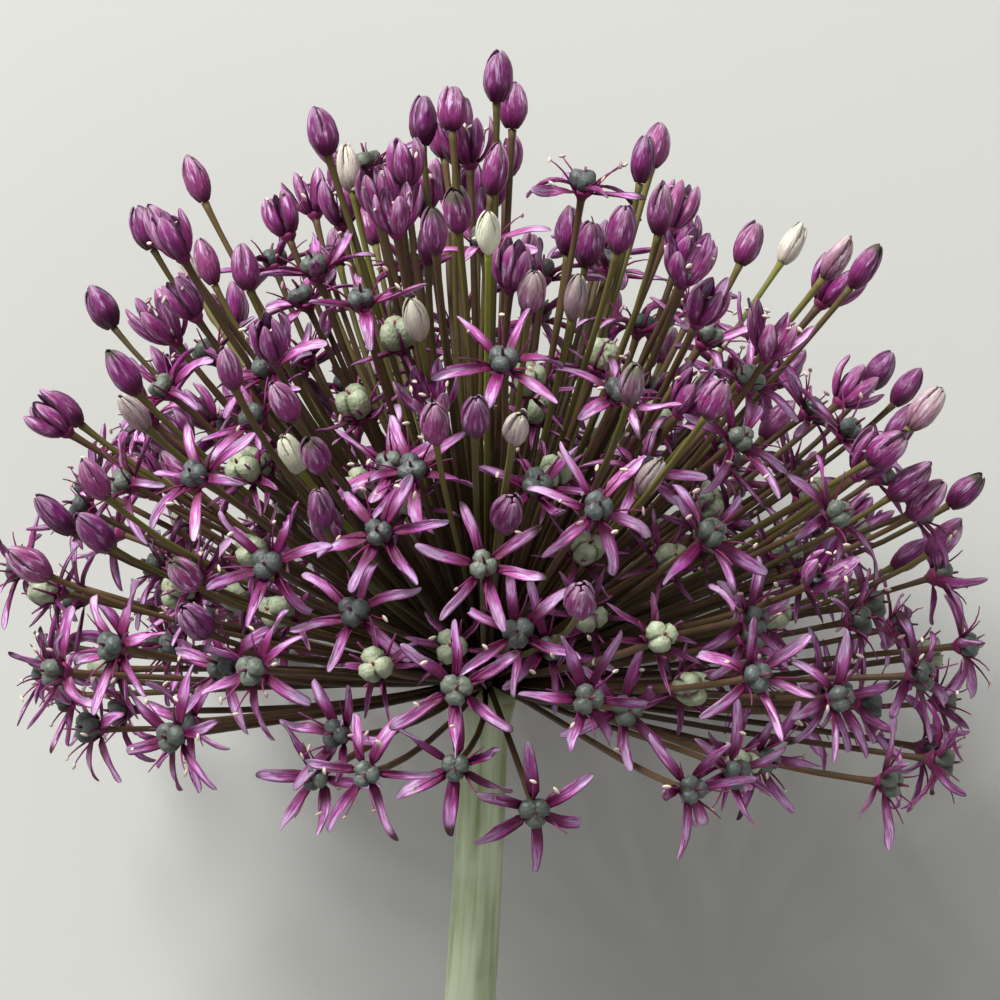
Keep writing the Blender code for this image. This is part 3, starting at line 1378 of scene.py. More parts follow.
@dataclass(frozen=True)
class Tepals:
    """Six tepals of each floret of one age, bent from one blade."""

    florets: Sequence[Placed]
    piece: str
    rings: tuple[int, float]
    girth: tuple[float, float, float]
    finish: TepalFinish

    def _floret_strands(self, floret: Placed, draw: random.Random) -> list[Strand]:
        """One floret's tepals, outer and inner in turn."""
        return [self._strand(floret, number, draw) for number in range(TEPALS)]

    def _strand(self, floret: Placed, number: int, draw: random.Random) -> Strand:
        """One tepal.

        Args:
            floret: Floret that it belongs to.
            number: Its number round the floret; the inner ones are odd.
            draw: Source of its differences.

        Returns:
            The tepal's curve, laid down with the head.
        """
        raise NotImplementedError

    def build(self, nursery: Nursery, draw: random.Random) -> Object:
        """Grows the tepals.

        Args:
            nursery: Trees to grow them with.
            draw: Source of their differences.

        Returns:
            The piece.
        """
        rows = rows_between(*self.rings)
        template = make_template(self.finish.name, BLADE_RING, rows, tepal_girth(*self.girth))
        strands = []
        for floret in self.florets:
            strands += self._floret_strands(floret, draw)
        return nursery.sweep_piece(self.piece, template, strands, self.finish.make())


@dataclass(frozen=True)
class OpenTepals(Tepals):
    """Narrow spreading tepals in two whorls, some of them hooked at the tip."""

    piece: str = "open_tepals"
    rings: tuple[int, float] = (8, 1.6)
    girth: tuple[float, float, float] = (0.72, 1.1, 14.0)
    length: float = 7.4 * MM
    half_width: float = 0.86 * MM
    half_depth: float = 0.12 * MM
    claw_reach: float = 0.7 * MM
    claw_heights: tuple[float, float] = (-0.28 * MM, 0.1 * MM)
    whorl_widths: tuple[float, float] = (1.02, 0.94)
    openings: tuple[float, float] = (-3.0, 5.0)
    opening: float = 17.0
    closing: float = -6.0
    hooked_share: float = 0.3
    hooks: tuple[float, ...] = (-80.0, -45.0, 65.0)
    ripple: float = 0.32 * MM
    finish: TepalFinish = TepalFinish(
        "open tepal",
        claw=(0.125, 0.004, 0.048),
        middle=(0.185, 0.008, 0.100),
        blade=(0.400, 0.074, 0.318),
        # margin: painted highlight colour
        margin=(0.650, 0.440, 0.700),
        outside=(0.255, 0.030, 0.175),
        withered=(0.050, 0.012, 0.018),
        painted_highlight=1.0,
        claw_end=0.37,
        vein_strength=0.4,
        midrib_strength=0.12,
        edge_gleam=-0.18,
        gleam_start=0.88,
        rim_strength=0.5,
        streak_width=0.95,
    )

    def _strand(self, floret: Placed, number: int, draw: random.Random) -> Strand:
        """One tepal; see Tepals._strand."""
        whorl = number % 2
        way = tepal_way(number, draw.gauss(0, 4))
        side = UP.cross(way)
        start = way * self.claw_reach + UP * self.claw_heights[whorl]
        opening = self.opening + draw.gauss(self.openings[whorl], 5)
        closing = self.closing + draw.gauss(0, 15)
        if draw.random() < self.hooked_share:
            closing += draw.choice(self.hooks)
        length = self.length * draw.uniform(0.93, 1.06)
        drift = side * draw.gauss(0, 0.38) * MM
        points = list(bent_points(start, way, opening, closing, length, drift))
        for bent in (1, 2):
            points[bent] += (side * draw.gauss(0, 1) + UP * draw.gauss(0, 1)) * self.ripple
        return Strand(
            tuple(points),
            side,
            self.half_width * draw.uniform(0.78, 1.10) * self.whorl_widths[whorl],
            self.half_depth,
            wrap=draw.uniform(0.5, 1.4),
            roll=draw.uniform(-0.5, 0.7),
            twist=draw.gauss(0, 0.65),
            wave=draw.uniform(0, 0.7),
            tone=0.6 * floret.tone + 0.4 * draw.random(),
            dry=draw.random() ** 2,
        ).moved(floret.place)


@dataclass(frozen=True)
class FadingTepals(Tepals):
    """Shrunken tepals that hang on round a swollen ovary."""

    piece: str = "fading_tepals"
    rings: tuple[int, float] = (8, 1.3)
    girth: tuple[float, float, float] = (0.75, 0.8, 3.0)
    length: float = 5.9 * MM
    half_width: float = 0.55 * MM
    half_depth: float = 0.13 * MM
    claw_reach: float = 0.75 * MM
    claw_heights: tuple[float, float] = (-0.3 * MM, 0.0)
    finish: TepalFinish = TepalFinish(
        "fading tepal",
        claw=(0.085, 0.004, 0.032),
        middle=(0.110, 0.008, 0.055),
        blade=(0.240, 0.034, 0.170),
        # margin: painted highlight colour
        margin=(0.520, 0.270, 0.470),
        outside=(0.165, 0.022, 0.110),
        withered=(0.062, 0.020, 0.024),
        roughness=0.42,
    )

    def _strand(self, floret: Placed, number: int, draw: random.Random) -> Strand:
        """One tepal; see Tepals._strand."""
        way = tepal_way(number, draw.gauss(0, 7))
        side = UP.cross(way)
        start = way * self.claw_reach + UP * self.claw_heights[number % 2]
        opening, closing = draw.gauss(2, 10), draw.gauss(0, 28)
        length = self.length * draw.uniform(0.85, 1.08)
        drift = side * draw.gauss(0, 0.6) * MM
        return Strand(
            bent_points(start, way, opening, closing, length, drift),
            side,
            self.half_width * draw.uniform(0.75, 1.25),
            self.half_depth,
            wrap=draw.uniform(0.9, 2.1),
            twist=draw.gauss(0, 0.9),
            wave=draw.uniform(0, 0.8),
            tone=0.4 * floret.tone + 0.4 * draw.random(),
            dry=0.35 + 0.65 * draw.random(),
        ).moved(floret.place)


@dataclass(frozen=True)
class CupTepals(Tepals):
    """Broad upright tepals of the half-open florets."""

    piece: str = "cup_tepals"
    rings: tuple[int, float] = (9, 1.6)
    girth: tuple[float, float, float] = (0.5, 1.25, 12.0)
    length: float = 6.7 * MM
    half_width: float = 1.42 * MM
    half_depth: float = 0.14 * MM
    claw_reach: float = 0.45 * MM
    claw_depth: float = 0.35 * MM
    openings: tuple[float, float] = (30.0, 36.0)
    closing: float = 128.0
    gapes: tuple[float, float] = (8.0, 34.0)
    whorl_lengths: tuple[float, float] = (1.0, 0.97)
    whorl_widths: tuple[float, float] = (1.0, 0.85)
    finish: TepalFinish = TepalFinish(
        "cup tepal",
        claw=(0.085, 0.005, 0.038),
        middle=(0.085, 0.005, 0.045),
        blade=(0.245, 0.027, 0.170),
        # margin: painted highlight colour
        margin=(0.720, 0.480, 0.740),
        outside=(0.268, 0.031, 0.184),
        withered=(0.100, 0.070, 0.050),
        tip=(0.420, 0.260, 0.350),
        tip_strength=0.4,
        claw_end=0.24,
        vein_strength=0.48,
        midrib_strength=0.15,
        edge_gleam=-0.10,
        gleam_start=0.98,
        rim_strength=0.75,
    )

    def _floret_strands(self, floret: Placed, draw: random.Random) -> list[Strand]:
        """One floret's tepals, which gape by one and the same share."""
        gape = draw.random()
        return [self._cupped(floret, number, gape, draw) for number in range(TEPALS)]

    def _cupped(self, floret: Placed, number: int, gape: float, draw: random.Random) -> Strand:
        """One tepal of a floret that gapes from 0 to 1; see Tepals._strand."""
        whorl = number % 2
        way = tepal_way(number, draw.gauss(0, 4))
        side = UP.cross(way)
        start = way * self.claw_reach + UP * -self.claw_depth
        opening = self.openings[whorl] - self.gapes[0] * gape
        closing = self.closing - self.gapes[1] * gape + draw.gauss(0, 9)
        length = self.length * draw.uniform(0.92, 1.06) * self.whorl_lengths[whorl]
        drift = side * draw.gauss(0, 0.3) * MM
        return Strand(
            bent_points(start, way, opening, closing, length, drift),
            side,
            self.half_width * draw.uniform(0.85, 1.05) * self.whorl_widths[whorl],
            self.half_depth,
            wrap=draw.uniform(0.8, 1.2),
            roll=draw.uniform(-0.2, 0.6),
            twist=draw.gauss(0, 0.15),
            wave=draw.uniform(0, 0.2),
            tone=0.5 * floret.tone + 0.5 * draw.random(),
            dry=0.6 * draw.random() ** 2,
            young=floret.young,
        ).moved(floret.place)


@dataclass(frozen=True)
class Buds:
    """Closed florets: three outer tepals lapped over three inner ones."""

    florets: Sequence[Placed]
    radius: float = 1.48 * MM
    least_radius: float = 0.02 * MM
    length: float = 6.1 * MM
    lengths: tuple[float, float] = (1.0, 0.97)
    reaches: tuple[float, float] = (60.0, 56.0)
    proud: tuple[float, float] = (0.13 * MM, -0.03 * MM)
    shell: float = 0.2 * MM
    ridge: float = 0.10 * MM
    ridge_width: float = 0.2
    widest: float = 0.42
    core_width: float = 0.82
    core_height: float = 0.93
    inset: float = 0.5 * MM
    variants: int = 9
    rows: tuple[float, ...] = (0, 0.012, 0.10, 0.22, 0.36, 0.50, 0.64, 0.77, 0.88, 0.96, 1)
    core_rows: tuple[float, ...] = (0, 0.04, 0.3, 0.6, 0.8, 0.93, 1)
    finish: TepalFinish = TepalFinish(
        "bud tepal",
        claw=(0.070, 0.005, 0.032),
        middle=(0.062, 0.004, 0.034),
        blade=(0.208, 0.024, 0.142),
        # margin: painted highlight colour
        margin=(0.690, 0.460, 0.710),
        outside=(0.230, 0.029, 0.158),
        withered=(0.090, 0.070, 0.055),
        tip=(0.360, 0.250, 0.290),
        tip_strength=0.4,
        claw_end=0.20,
        vein_strength=0.48,
        midrib_strength=0.15,
        edge_gleam=-0.10,
        gleam_start=0.98,
        rim_strength=0.85,
    )

    def _profile(self, share: float) -> float:
        """Finds the radius of the bud.

        Args:
            share: Share of its height.

        Returns:
            The radius there, as a share of its widest.
        """
        if share < self.widest:
            return 0.30 + 0.70 * math.sin(math.pi / 2 * share / self.widest) ** 0.85
        above = (share - self.widest) / (1 - self.widest)
        return 0.07 + 0.93 * math.cos(math.pi / 2 * above**1.3) ** 0.8

    def _grow_tepal(
        self, sleeve: Sleeve, number: int, loose: float, draw: random.Random
    ) -> None:
        """Adds one shell to a bud.

        Args:
            sleeve: Mesh of the bud.
            number: The shell's number round the bud; the inner ones are odd.
            loose: How loose the bud is, from 0 to 1.
            draw: Source of the shell's differences.
        """
        whorl = number % 2
        centre = math.radians(360 / TEPALS * number + draw.gauss(0, 3))
        reach = math.radians(self.reaches[whorl])
        height = self.length * draw.uniform(0.96, 1.03) * self.lengths[whorl]
        flare = draw.uniform(0, 0.08) * MM
        narrowing = 0.12
        if whorl == 0:
            flare += loose * draw.uniform(0.15, 0.5) * MM
            narrowing += 0.30 * loose + 0.1

        def place(along: float, across: float, up: float) -> Vector:
            """Point of the lapped shell."""
            ridge = self.ridge * math.exp(-((across / self.ridge_width) ** 2)) * (1 - along)
            radius = self.radius * self._profile(along) + self.proud[whorl] * (1 - across**4)
            radius += ridge + flare * along**6 - up * self.shell / 2
            radius *= 1 + 0.05 * noise.noise(Vector((along * 3, across * 2, number * 9)))
            spread = across * reach * (1 - narrowing * along**2)
            way = direction(math.pi / 2, centre + spread)
            return way * max(self.least_radius, radius) + UP * height * along

        blade, tile = number / (TEPALS + 1), self._tile(number)
        sleeve.grow(self.rows, BLADE_RING, place, blade=blade, tile=tile)

    @staticmethod
    def _tile(number: int) -> Tile:
        """One of the eight tiles that a bud's parts share, in two rows of four."""
        return number % 4 / 4 + 0.01, number // 4 / 2 + 0.01, 0.23, 0.48

    def _grow_core(self, sleeve: Sleeve) -> None:
        """Fills the throat, in the colour of the claws.

        Args:
            sleeve: Mesh of the bud.
        """

        def place(along: float, across: float, up: float) -> Vector:
            """Point of the core."""
            radius = self.radius * self.core_width * self._profile(along)
            return Vector((across * radius, up * radius, self.length * self.core_height * along))

        sleeve.grow(self.core_rows, round_ring(8), place, blade=1.0, tile=self._tile(TEPALS))
        for vert in sleeve.bm.verts:
            if vert[sleeve.fields["blade"]] == 1.0:
                vert[sleeve.fields["along"]] = 0.0

    def _shape(self, number: int, draw: random.Random) -> Mesh:
        """Draws one bud.

        Args:
            number: Its number among the variants, the highest for the loosest.
            draw: Source of its differences.

        Returns:
            Its mesh.
        """
        sleeve = Sleeve()
        loose = (number / (self.variants - 1)) ** 1.5
        for tepal in range(TEPALS):
            self._grow_tepal(sleeve, tepal, loose, draw)
        self._grow_core(sleeve)
        return sleeve.finish(f"bud {number}")

    def _stance(self, floret: Placed, draw: random.Random) -> Stance:
        """Finds how a bud stands on its pedicel; young ones are slimmer and shorter.

        Args:
            floret: The floret.
            draw: Source of its differences.

        Returns:
            The stance.
        """
        slim = draw.uniform(0.86, 1.12) * (1 - 0.22 * floret.young)
        size = draw.uniform(0.90, 1.05) * (1 - 0.10 * floret.young)
        variant = draw.randrange(self.variants)
        scale, dry = Vector((slim, slim, size)), draw.random() ** 2
        return Stance(floret.sunk(self.inset), variant, scale, floret.tone, dry, floret.young)

    def build(self, nursery: Nursery, draw: random.Random) -> Object:
        """Grows the buds; see Tepals.build."""
        shapes = [self._shape(number, draw) for number in range(self.variants)]
        stances = [self._stance(floret, draw) for floret in self.florets]
        return nursery.stand_piece("bud_tepals", shapes, stances, self.finish.make())


@dataclass(frozen=True)
class Ovaries:
    """Three-lobed ovary of each bloomed floret."""

    florets: Sequence[Placed]
    radius: float = 1.84 * MM
    height: float = 2.7 * MM
    inset: float = 0.15 * MM
    first_lobe: float = 105.0
    cup_size: float = 0.66
    swollen_width: float = 0.16
    swollen_height: float = 0.28
    corners: tuple[int, ...] = (-60, -42, -15, 15, 42)
    rows: tuple[float, ...] = (0.0, 0.25, 0.45, 0.60, 0.74, 0.87, 1.0)
    variants: int = 7

    def _ring(self) -> Ring:
        """Corners of a ring, with one in each groove between two lobes."""
        lobes = [360 // LOBES * lobe for lobe in range(LOBES)]
        angles = [math.radians(lobe + turn) for lobe in lobes for turn in self.corners]
        return [(math.cos(angle), math.sin(angle)) for angle in angles]

    def _shape(self, number: int, draw: random.Random) -> Mesh:
        """Draws one ovary of an open floret's size.

        Args:
            number: Its number among the variants.
            draw: Source of its differences.

        Returns:
            Its mesh, whose field up runs from 0 in a groove to 1 along the middle of a lobe.
        """
        sleeve = Sleeve()
        seed = draw.uniform(0, 100)
        depth = draw.uniform(0.38, 0.50)
        swell = [draw.uniform(-0.12, 0.08) for _ in range(LOBES)]

        def lobe(angle: float) -> float:
            """0 in a groove and 1 along the middle of a lobe."""
            return abs(math.cos(LOBES / 2 * angle)) ** 0.55

        def place(along: float, across: float, up: float) -> Vector:
            """Point of the lobed body."""
            angle = math.atan2(up, across)
            polar = math.pi * along
            wide = math.sin(polar) ** 0.85
            shoulder = 1 / (1 + math.exp((0.45 - along) * 9))
            cleft = depth * (0.5 + 0.5 * shoulder)
            radius = self.radius * wide * (1 - cleft * (1 - lobe(angle)))
            for side, more in enumerate(swell):
                radius *= 1 + more * max(0, math.cos(angle - math.radians(360 / LOBES * side)))
            height = self.height * (1 - math.cos(polar)) / 2
            height -= self.height * 0.20 * max(0, (along - 0.66) / 0.34) ** 2
            height += self.radius * 0.16 * shoulder * lobe(angle) * wide
            way = direction(math.pi / 2, angle)
            bump = noise.noise(way * 2.2 + UP * (along * 4 + seed))
            return way * radius * (1 + 0.06 * bump) + UP * height * (1 + 0.03 * bump)

        sleeve.grow(self.rows, self._ring(), place)
        for vert in sleeve.bm.verts:
            angle = math.atan2(vert[sleeve.fields["up"]], vert[sleeve.fields["across"]])
            vert[sleeve.fields["up"]] = lobe(angle)
        return sleeve.finish(f"ovary {number}")

    def _stance(self, floret: Placed, draw: random.Random) -> Stance:
        """Finds how an ovary stands in its floret.

        Args:
            floret: The floret.
            draw: Source of the ovary's differences.

        Returns:
            The stance, with its ripeness in place of its youth.
        """
        swollen = 1.0 if floret.age is Age.FADING else 0.0
        size = draw.uniform(0.93, 1.04) + self.swollen_width * swollen
        if floret.age is Age.CUP:
            size *= self.cup_size
        turn = math.radians(self.first_lobe + draw.gauss(0, 4))
        place = floret.sunk(self.inset) @ Matrix.Rotation(turn, 4, "Z")
        tall = size * draw.uniform(0.9, 1.05) * (1 + self.swollen_height * swollen)
        ripe = swollen or 0.3 * draw.random() ** 2
        variant = draw.randrange(self.variants)
        return Stance(place, variant, Vector((size, size, tall)), floret.tone, 0.0, ripe)

    def build(self, nursery: Nursery, draw: random.Random) -> Object:
        """Grows the ovaries; see Tepals.build."""
        shapes = [self._shape(number, draw) for number in range(self.variants)]
        stances = [self._stance(floret, draw) for floret in self.florets]
        return nursery.stand_piece("ovaries", shapes, stances, OvaryFinish().make())


@dataclass(frozen=True)
class FloretBases:
    """Fleshy cone that joins tepals, ovary and pedicel; its outline and cap are in mm."""

    florets: Sequence[Placed]
    sides: int = 10
    scallop: float = 0.07
    cup_size: float = 0.8
    cap: float = 0.08
    margin: float = 0.01
    outline: tuple[tuple[float, float], ...] = (
        (0.50, -1.15),
        (0.62, -0.85),
        (0.92, -0.55),
        (1.18, -0.25),
        (1.22, 0.0),
        (0.95, 0.22),
    )
    finish: StalkFinish = StalkFinish(
        "floret base",
        root=(0.110, 0.040, 0.045),
        middle=(0.150, 0.016, 0.070),
        tip=(0.210, 0.018, 0.110),
        unripe=(0.26, 0.28, 0.11),
        bloom=(0.330, 0.140, 0.250),
    )

    def _shape(self) -> Mesh:
        """Draws the cone, a little scalloped where the tepals leave it.

        Returns:
            Its mesh.
        """
        sleeve = Sleeve()
        last = len(self.outline) - 1
        span = 1 - 2 * self.margin
        ends = ((0, self.outline[0][1]), (0, self.outline[-1][1] + self.cap))

        def place(along: float, across: float, up: float) -> Vector:
            """Point of the cone."""
            if along in (0, 1):
                radius, height = ends[int(along)]
            else:
                radius, height = self.outline[round((along - self.margin) / span * last)]
            turn = math.atan2(up, across) - math.radians(FIRST_TEPAL)
            radius *= 1 + self.scallop * math.cos(TEPALS * turn)
            return Vector((across * radius, up * radius, height)) * MM

        rows = [self.margin + span * step / last for step in range(last + 1)]
        sleeve.grow([0, *rows, 1], round_ring(self.sides), place)
        return sleeve.finish("floret base")

    def build(self, nursery: Nursery, draw: random.Random) -> Object:
        """Grows the bases; see Tepals.build."""
        stances = []
        for floret in self.florets:
            size = self.cup_size if floret.age is Age.CUP else 1.0
            size *= draw.uniform(0.94, 1.04)
            scale = Vector((size, size, 1))
            stances.append(Stance(floret.place, 0, scale, floret.tone, 0.0, floret.young))
        return nursery.stand_piece("floret_bases", [self._shape()], stances, self.finish.make())


@dataclass(frozen=True)
class Stamens:
    """Six filaments round each ovary, most of them with an anther, and the style."""

    florets: Sequence[Placed]
    length: float = 4.6 * MM
    filament_radius: float = 0.115 * MM
    filament_rows: tuple[float, ...] = (0, 0.02, 0.3, 0.55, 0.8, 0.98, 1)
    anther_length: float = 1.0 * MM
    anther_radius: float = 0.25 * MM
    anther_rows: tuple[float, ...] = (0, 0.06, 0.25, 0.5, 0.75, 0.94, 1)
    style_radius: float = 0.19 * MM
    style_rows: tuple[float, ...] = (0, 0.05, 0.5, 0.92, 1)
    finish: StalkFinish = StalkFinish(
        "filament",
        root=(0.120, 0.005, 0.045),
        middle=(0.150, 0.010, 0.070),
        tip=(0.200, 0.036, 0.130),
        unripe=(0.26, 0.10, 0.16),
        bloom=(0.280, 0.090, 0.210),
    )
    style_finish: StalkFinish = StalkFinish(
        "style",
        root=(0.120, 0.020, 0.045),
        middle=(0.110, 0.016, 0.048),
        tip=(0.180, 0.050, 0.110),
        unripe=(0.20, 0.10, 0.12),
        bloom=(0.240, 0.110, 0.150),
    )

    # Opening and closing angle, and the shares of the length and of the radius.
    HABITS = {
        Age.STAR: (58, 22, 1.0, 1.0),
        Age.FADING: (68, 52, 0.85, 1.5),
        Age.CUP: (66, 82, 0.95, 1.0),
    }
    FEET = {Age.STAR: 1.15 * MM, Age.FADING: 1.15 * MM, Age.CUP: 0.7 * MM}
    ANTHERS_KEPT = {Age.STAR: 0.42, Age.FADING: 0.06, Age.CUP: 0.6}
    STYLE_FEET = {Age.STAR: 1.9 * MM, Age.FADING: 2.7 * MM, Age.CUP: 1.2 * MM}
    STYLE_LENGTHS = {Age.STAR: 1.0, Age.FADING: 0.7, Age.CUP: 1.0}

    def _filament(self, floret: Placed, number: int, draw: random.Random) -> Strand:
        """One filament; see Tepals._strand."""
        way = tepal_way(number, draw.gauss(0, 8))
        side = UP.cross(way)
        opening, closing, long, wide = self.HABITS[floret.age]
        opening += draw.gauss(0, 8)
        closing += draw.gauss(0, 16)
        drift = side * draw.gauss(0, 0.5) * MM
        length = self.length * long * draw.uniform(0.85, 1.1)
        points = bent_points(way * self.FEET[floret.age], way, opening, closing, length, drift)
        radius = self.filament_radius * wide
        return Strand(points, side, radius, radius, tone=draw.random()).moved(floret.place)

    def _anther(self, filament: Strand, draw: random.Random) -> Strand:
        """Anther that swings on the end of a filament.

        Args:
            filament: The filament, laid down with the head.
            draw: Source of the anther's differences.

        Returns:
            The anther's curve.
        """
        end = filament.points[3]
        way = (end - filament.points[2]).normalized()
        swing = Quaternion(way, draw.uniform(0, 2 * math.pi))
        lie = (swing @ filament.side * 0.85 + way * draw.uniform(-0.3, 0.6)).normalized()
        half = lie * self.anther_length / 2 * draw.uniform(0.85, 1.1)
        points = tuple(end + half * share for share in (-1, -0.35, 0.35, 1))
        wide = self.anther_radius * draw.uniform(0.85, 1.1)
        return Strand(points, lie.orthogonal().normalized(), wide, wide * 0.8, tone=draw.random())

    @staticmethod
    def _taper(along: float) -> float:
        """Width of a filament."""
        return 1.5 - 0.9 * along

    @staticmethod
    def _bean(along: float) -> float:
        """Width of an anther."""
        return max(0.05, math.sin(math.pi * min(1, max(0, along))) ** 0.55)

    @staticmethod
    def _peg(along: float) -> float:
        """Width of a style."""
        return 1.15 - 0.45 * along

    def build(self, nursery: Nursery, draw: random.Random) -> tuple[Object, Object]:
        """Grows the filaments and the anthers.

        Args:
            nursery: Trees to grow them with.
            draw: Source of their differences.

        Returns:
            The two pieces.
        """
        filaments, anthers = [], []
        for floret in self.florets:
            for number in range(TEPALS):
                filaments.append(self._filament(floret, number, draw))
                if draw.random() < self.ANTHERS_KEPT[floret.age]:
                    anthers.append(self._anther(filaments[-1], draw))
        thread = make_template("filament", round_ring(5), self.filament_rows, self._taper)
        sac = make_template("anther", round_ring(6), self.anther_rows, self._bean)
        return (
            nursery.sweep_piece("filaments", thread, filaments, self.finish.make()),
            nursery.sweep_piece("anthers", sac, anthers, AntherFinish().make()),
        )

    def _style(self, floret: Placed, draw: random.Random) -> Strand:
        """Draws the style that stands on a floret's ovary.

        Args:
            floret: The floret.
            draw: Source of the style's differences.

        Returns:
            The style's curve, laid down with the head.
        """
        length = draw.uniform(1.0, 1.7) * self.STYLE_LENGTHS[floret.age] * MM
        way = flat_way(draw.uniform(0, 360))
        foot = UP * self.STYLE_FEET[floret.age]
        points = bent_points(foot, way, 88, draw.uniform(35, 95), length, Vector())
        radius = self.style_radius
        strand = Strand(points, UP.cross(way), radius, radius, tone=draw.random())
        return strand.moved(floret.place)

    def build_styles(self, nursery: Nursery, draw: random.Random) -> Object:
        """Grows the styles; see Tepals.build."""
        styles = [self._style(floret, draw) for floret in self.florets]
        peg = make_template("style", round_ring(6), self.style_rows, self._peg)
        return nursery.sweep_piece("styles", peg, styles, self.style_finish.make())


@dataclass(frozen=True)
class Pedicels:
    """Thin stalks that carry the florets out from the receptacle."""

    florets: Sequence[Placed]
    radius: float = 0.41 * MM
    sway: float = 0.7 * MM
    greenest: float = 0.35
    swell: float = 0.45
    swell_from: float = 0.955
    rows: tuple[float, ...] = (0, 0.005, 0.15, 0.32, 0.5, 0.68, 0.84, 0.94, 0.98, 0.998, 1)
    # Near black at the root, dark in the middle, olive-brown at the tip: painted shade deep inside
    # the head over the stalks' own olive-brown.
    finish: StalkFinish = StalkFinish(
        "pedicel",
        root=(0.021, 0.015, 0.004),
        middle=(0.037, 0.018, 0.008),
        tip=(0.086, 0.050, 0.025),
        unripe=(0.185, 0.215, 0.034),
        bloom=(0.170, 0.110, 0.065),
    )

    WIDTHS = {Age.BUD: 0.92, Age.CUP: 1.0, Age.STAR: 1.0, Age.FADING: 1.05}

    def _strand(self, floret: Placed, draw: random.Random) -> Strand:
        """One pedicel, from the receptacle to the back of its floret.

        Args:
            floret: The floret that it carries.
            draw: Source of its differences.

        Returns:
            The pedicel's curve.
        """
        root, end = floret.root, floret.end
        sway = [Vector([draw.gauss(0, self.sway) for _ in range(3)]) for _ in range(2)]
        lean_out = root.lerp(floret.control, 2 / 3) + sway[0]
        arrive = (floret.place.to_3x3() @ UP) * (end - root).length / 3
        lean_in = (end.lerp(floret.control, 2 / 3) + end - arrive) / 2 + sway[1] * 0.5
        side = (end - root).orthogonal().normalized()
        radius = self.radius * self.WIDTHS[floret.age] * draw.uniform(0.92, 1.08)
        green = self.greenest * draw.random() if floret.age is Age.BUD else 0
        young = max(floret.young, green)
        points = (root, lean_out, lean_in, end)
        return Strand(points, side, radius, radius, tone=floret.tone, young=young)

    def _girth(self, along: float) -> float:
        """Width of a pedicel, which swells under its floret."""
        swollen = max(0, (along - self.swell_from) / (1 - self.swell_from))
        return 0.9 + 0.1 * along + self.swell * swollen**1.5

    def build(self, nursery: Nursery, draw: random.Random) -> Object:
        """Grows the pedicels; see Tepals.build."""
        template = make_template("pedicel", round_ring(6), self.rows, self._girth)
        strands = [self._strand(floret, draw) for floret in self.florets]
        return nursery.sweep_piece("pedicels", template, strands, self.finish.make())


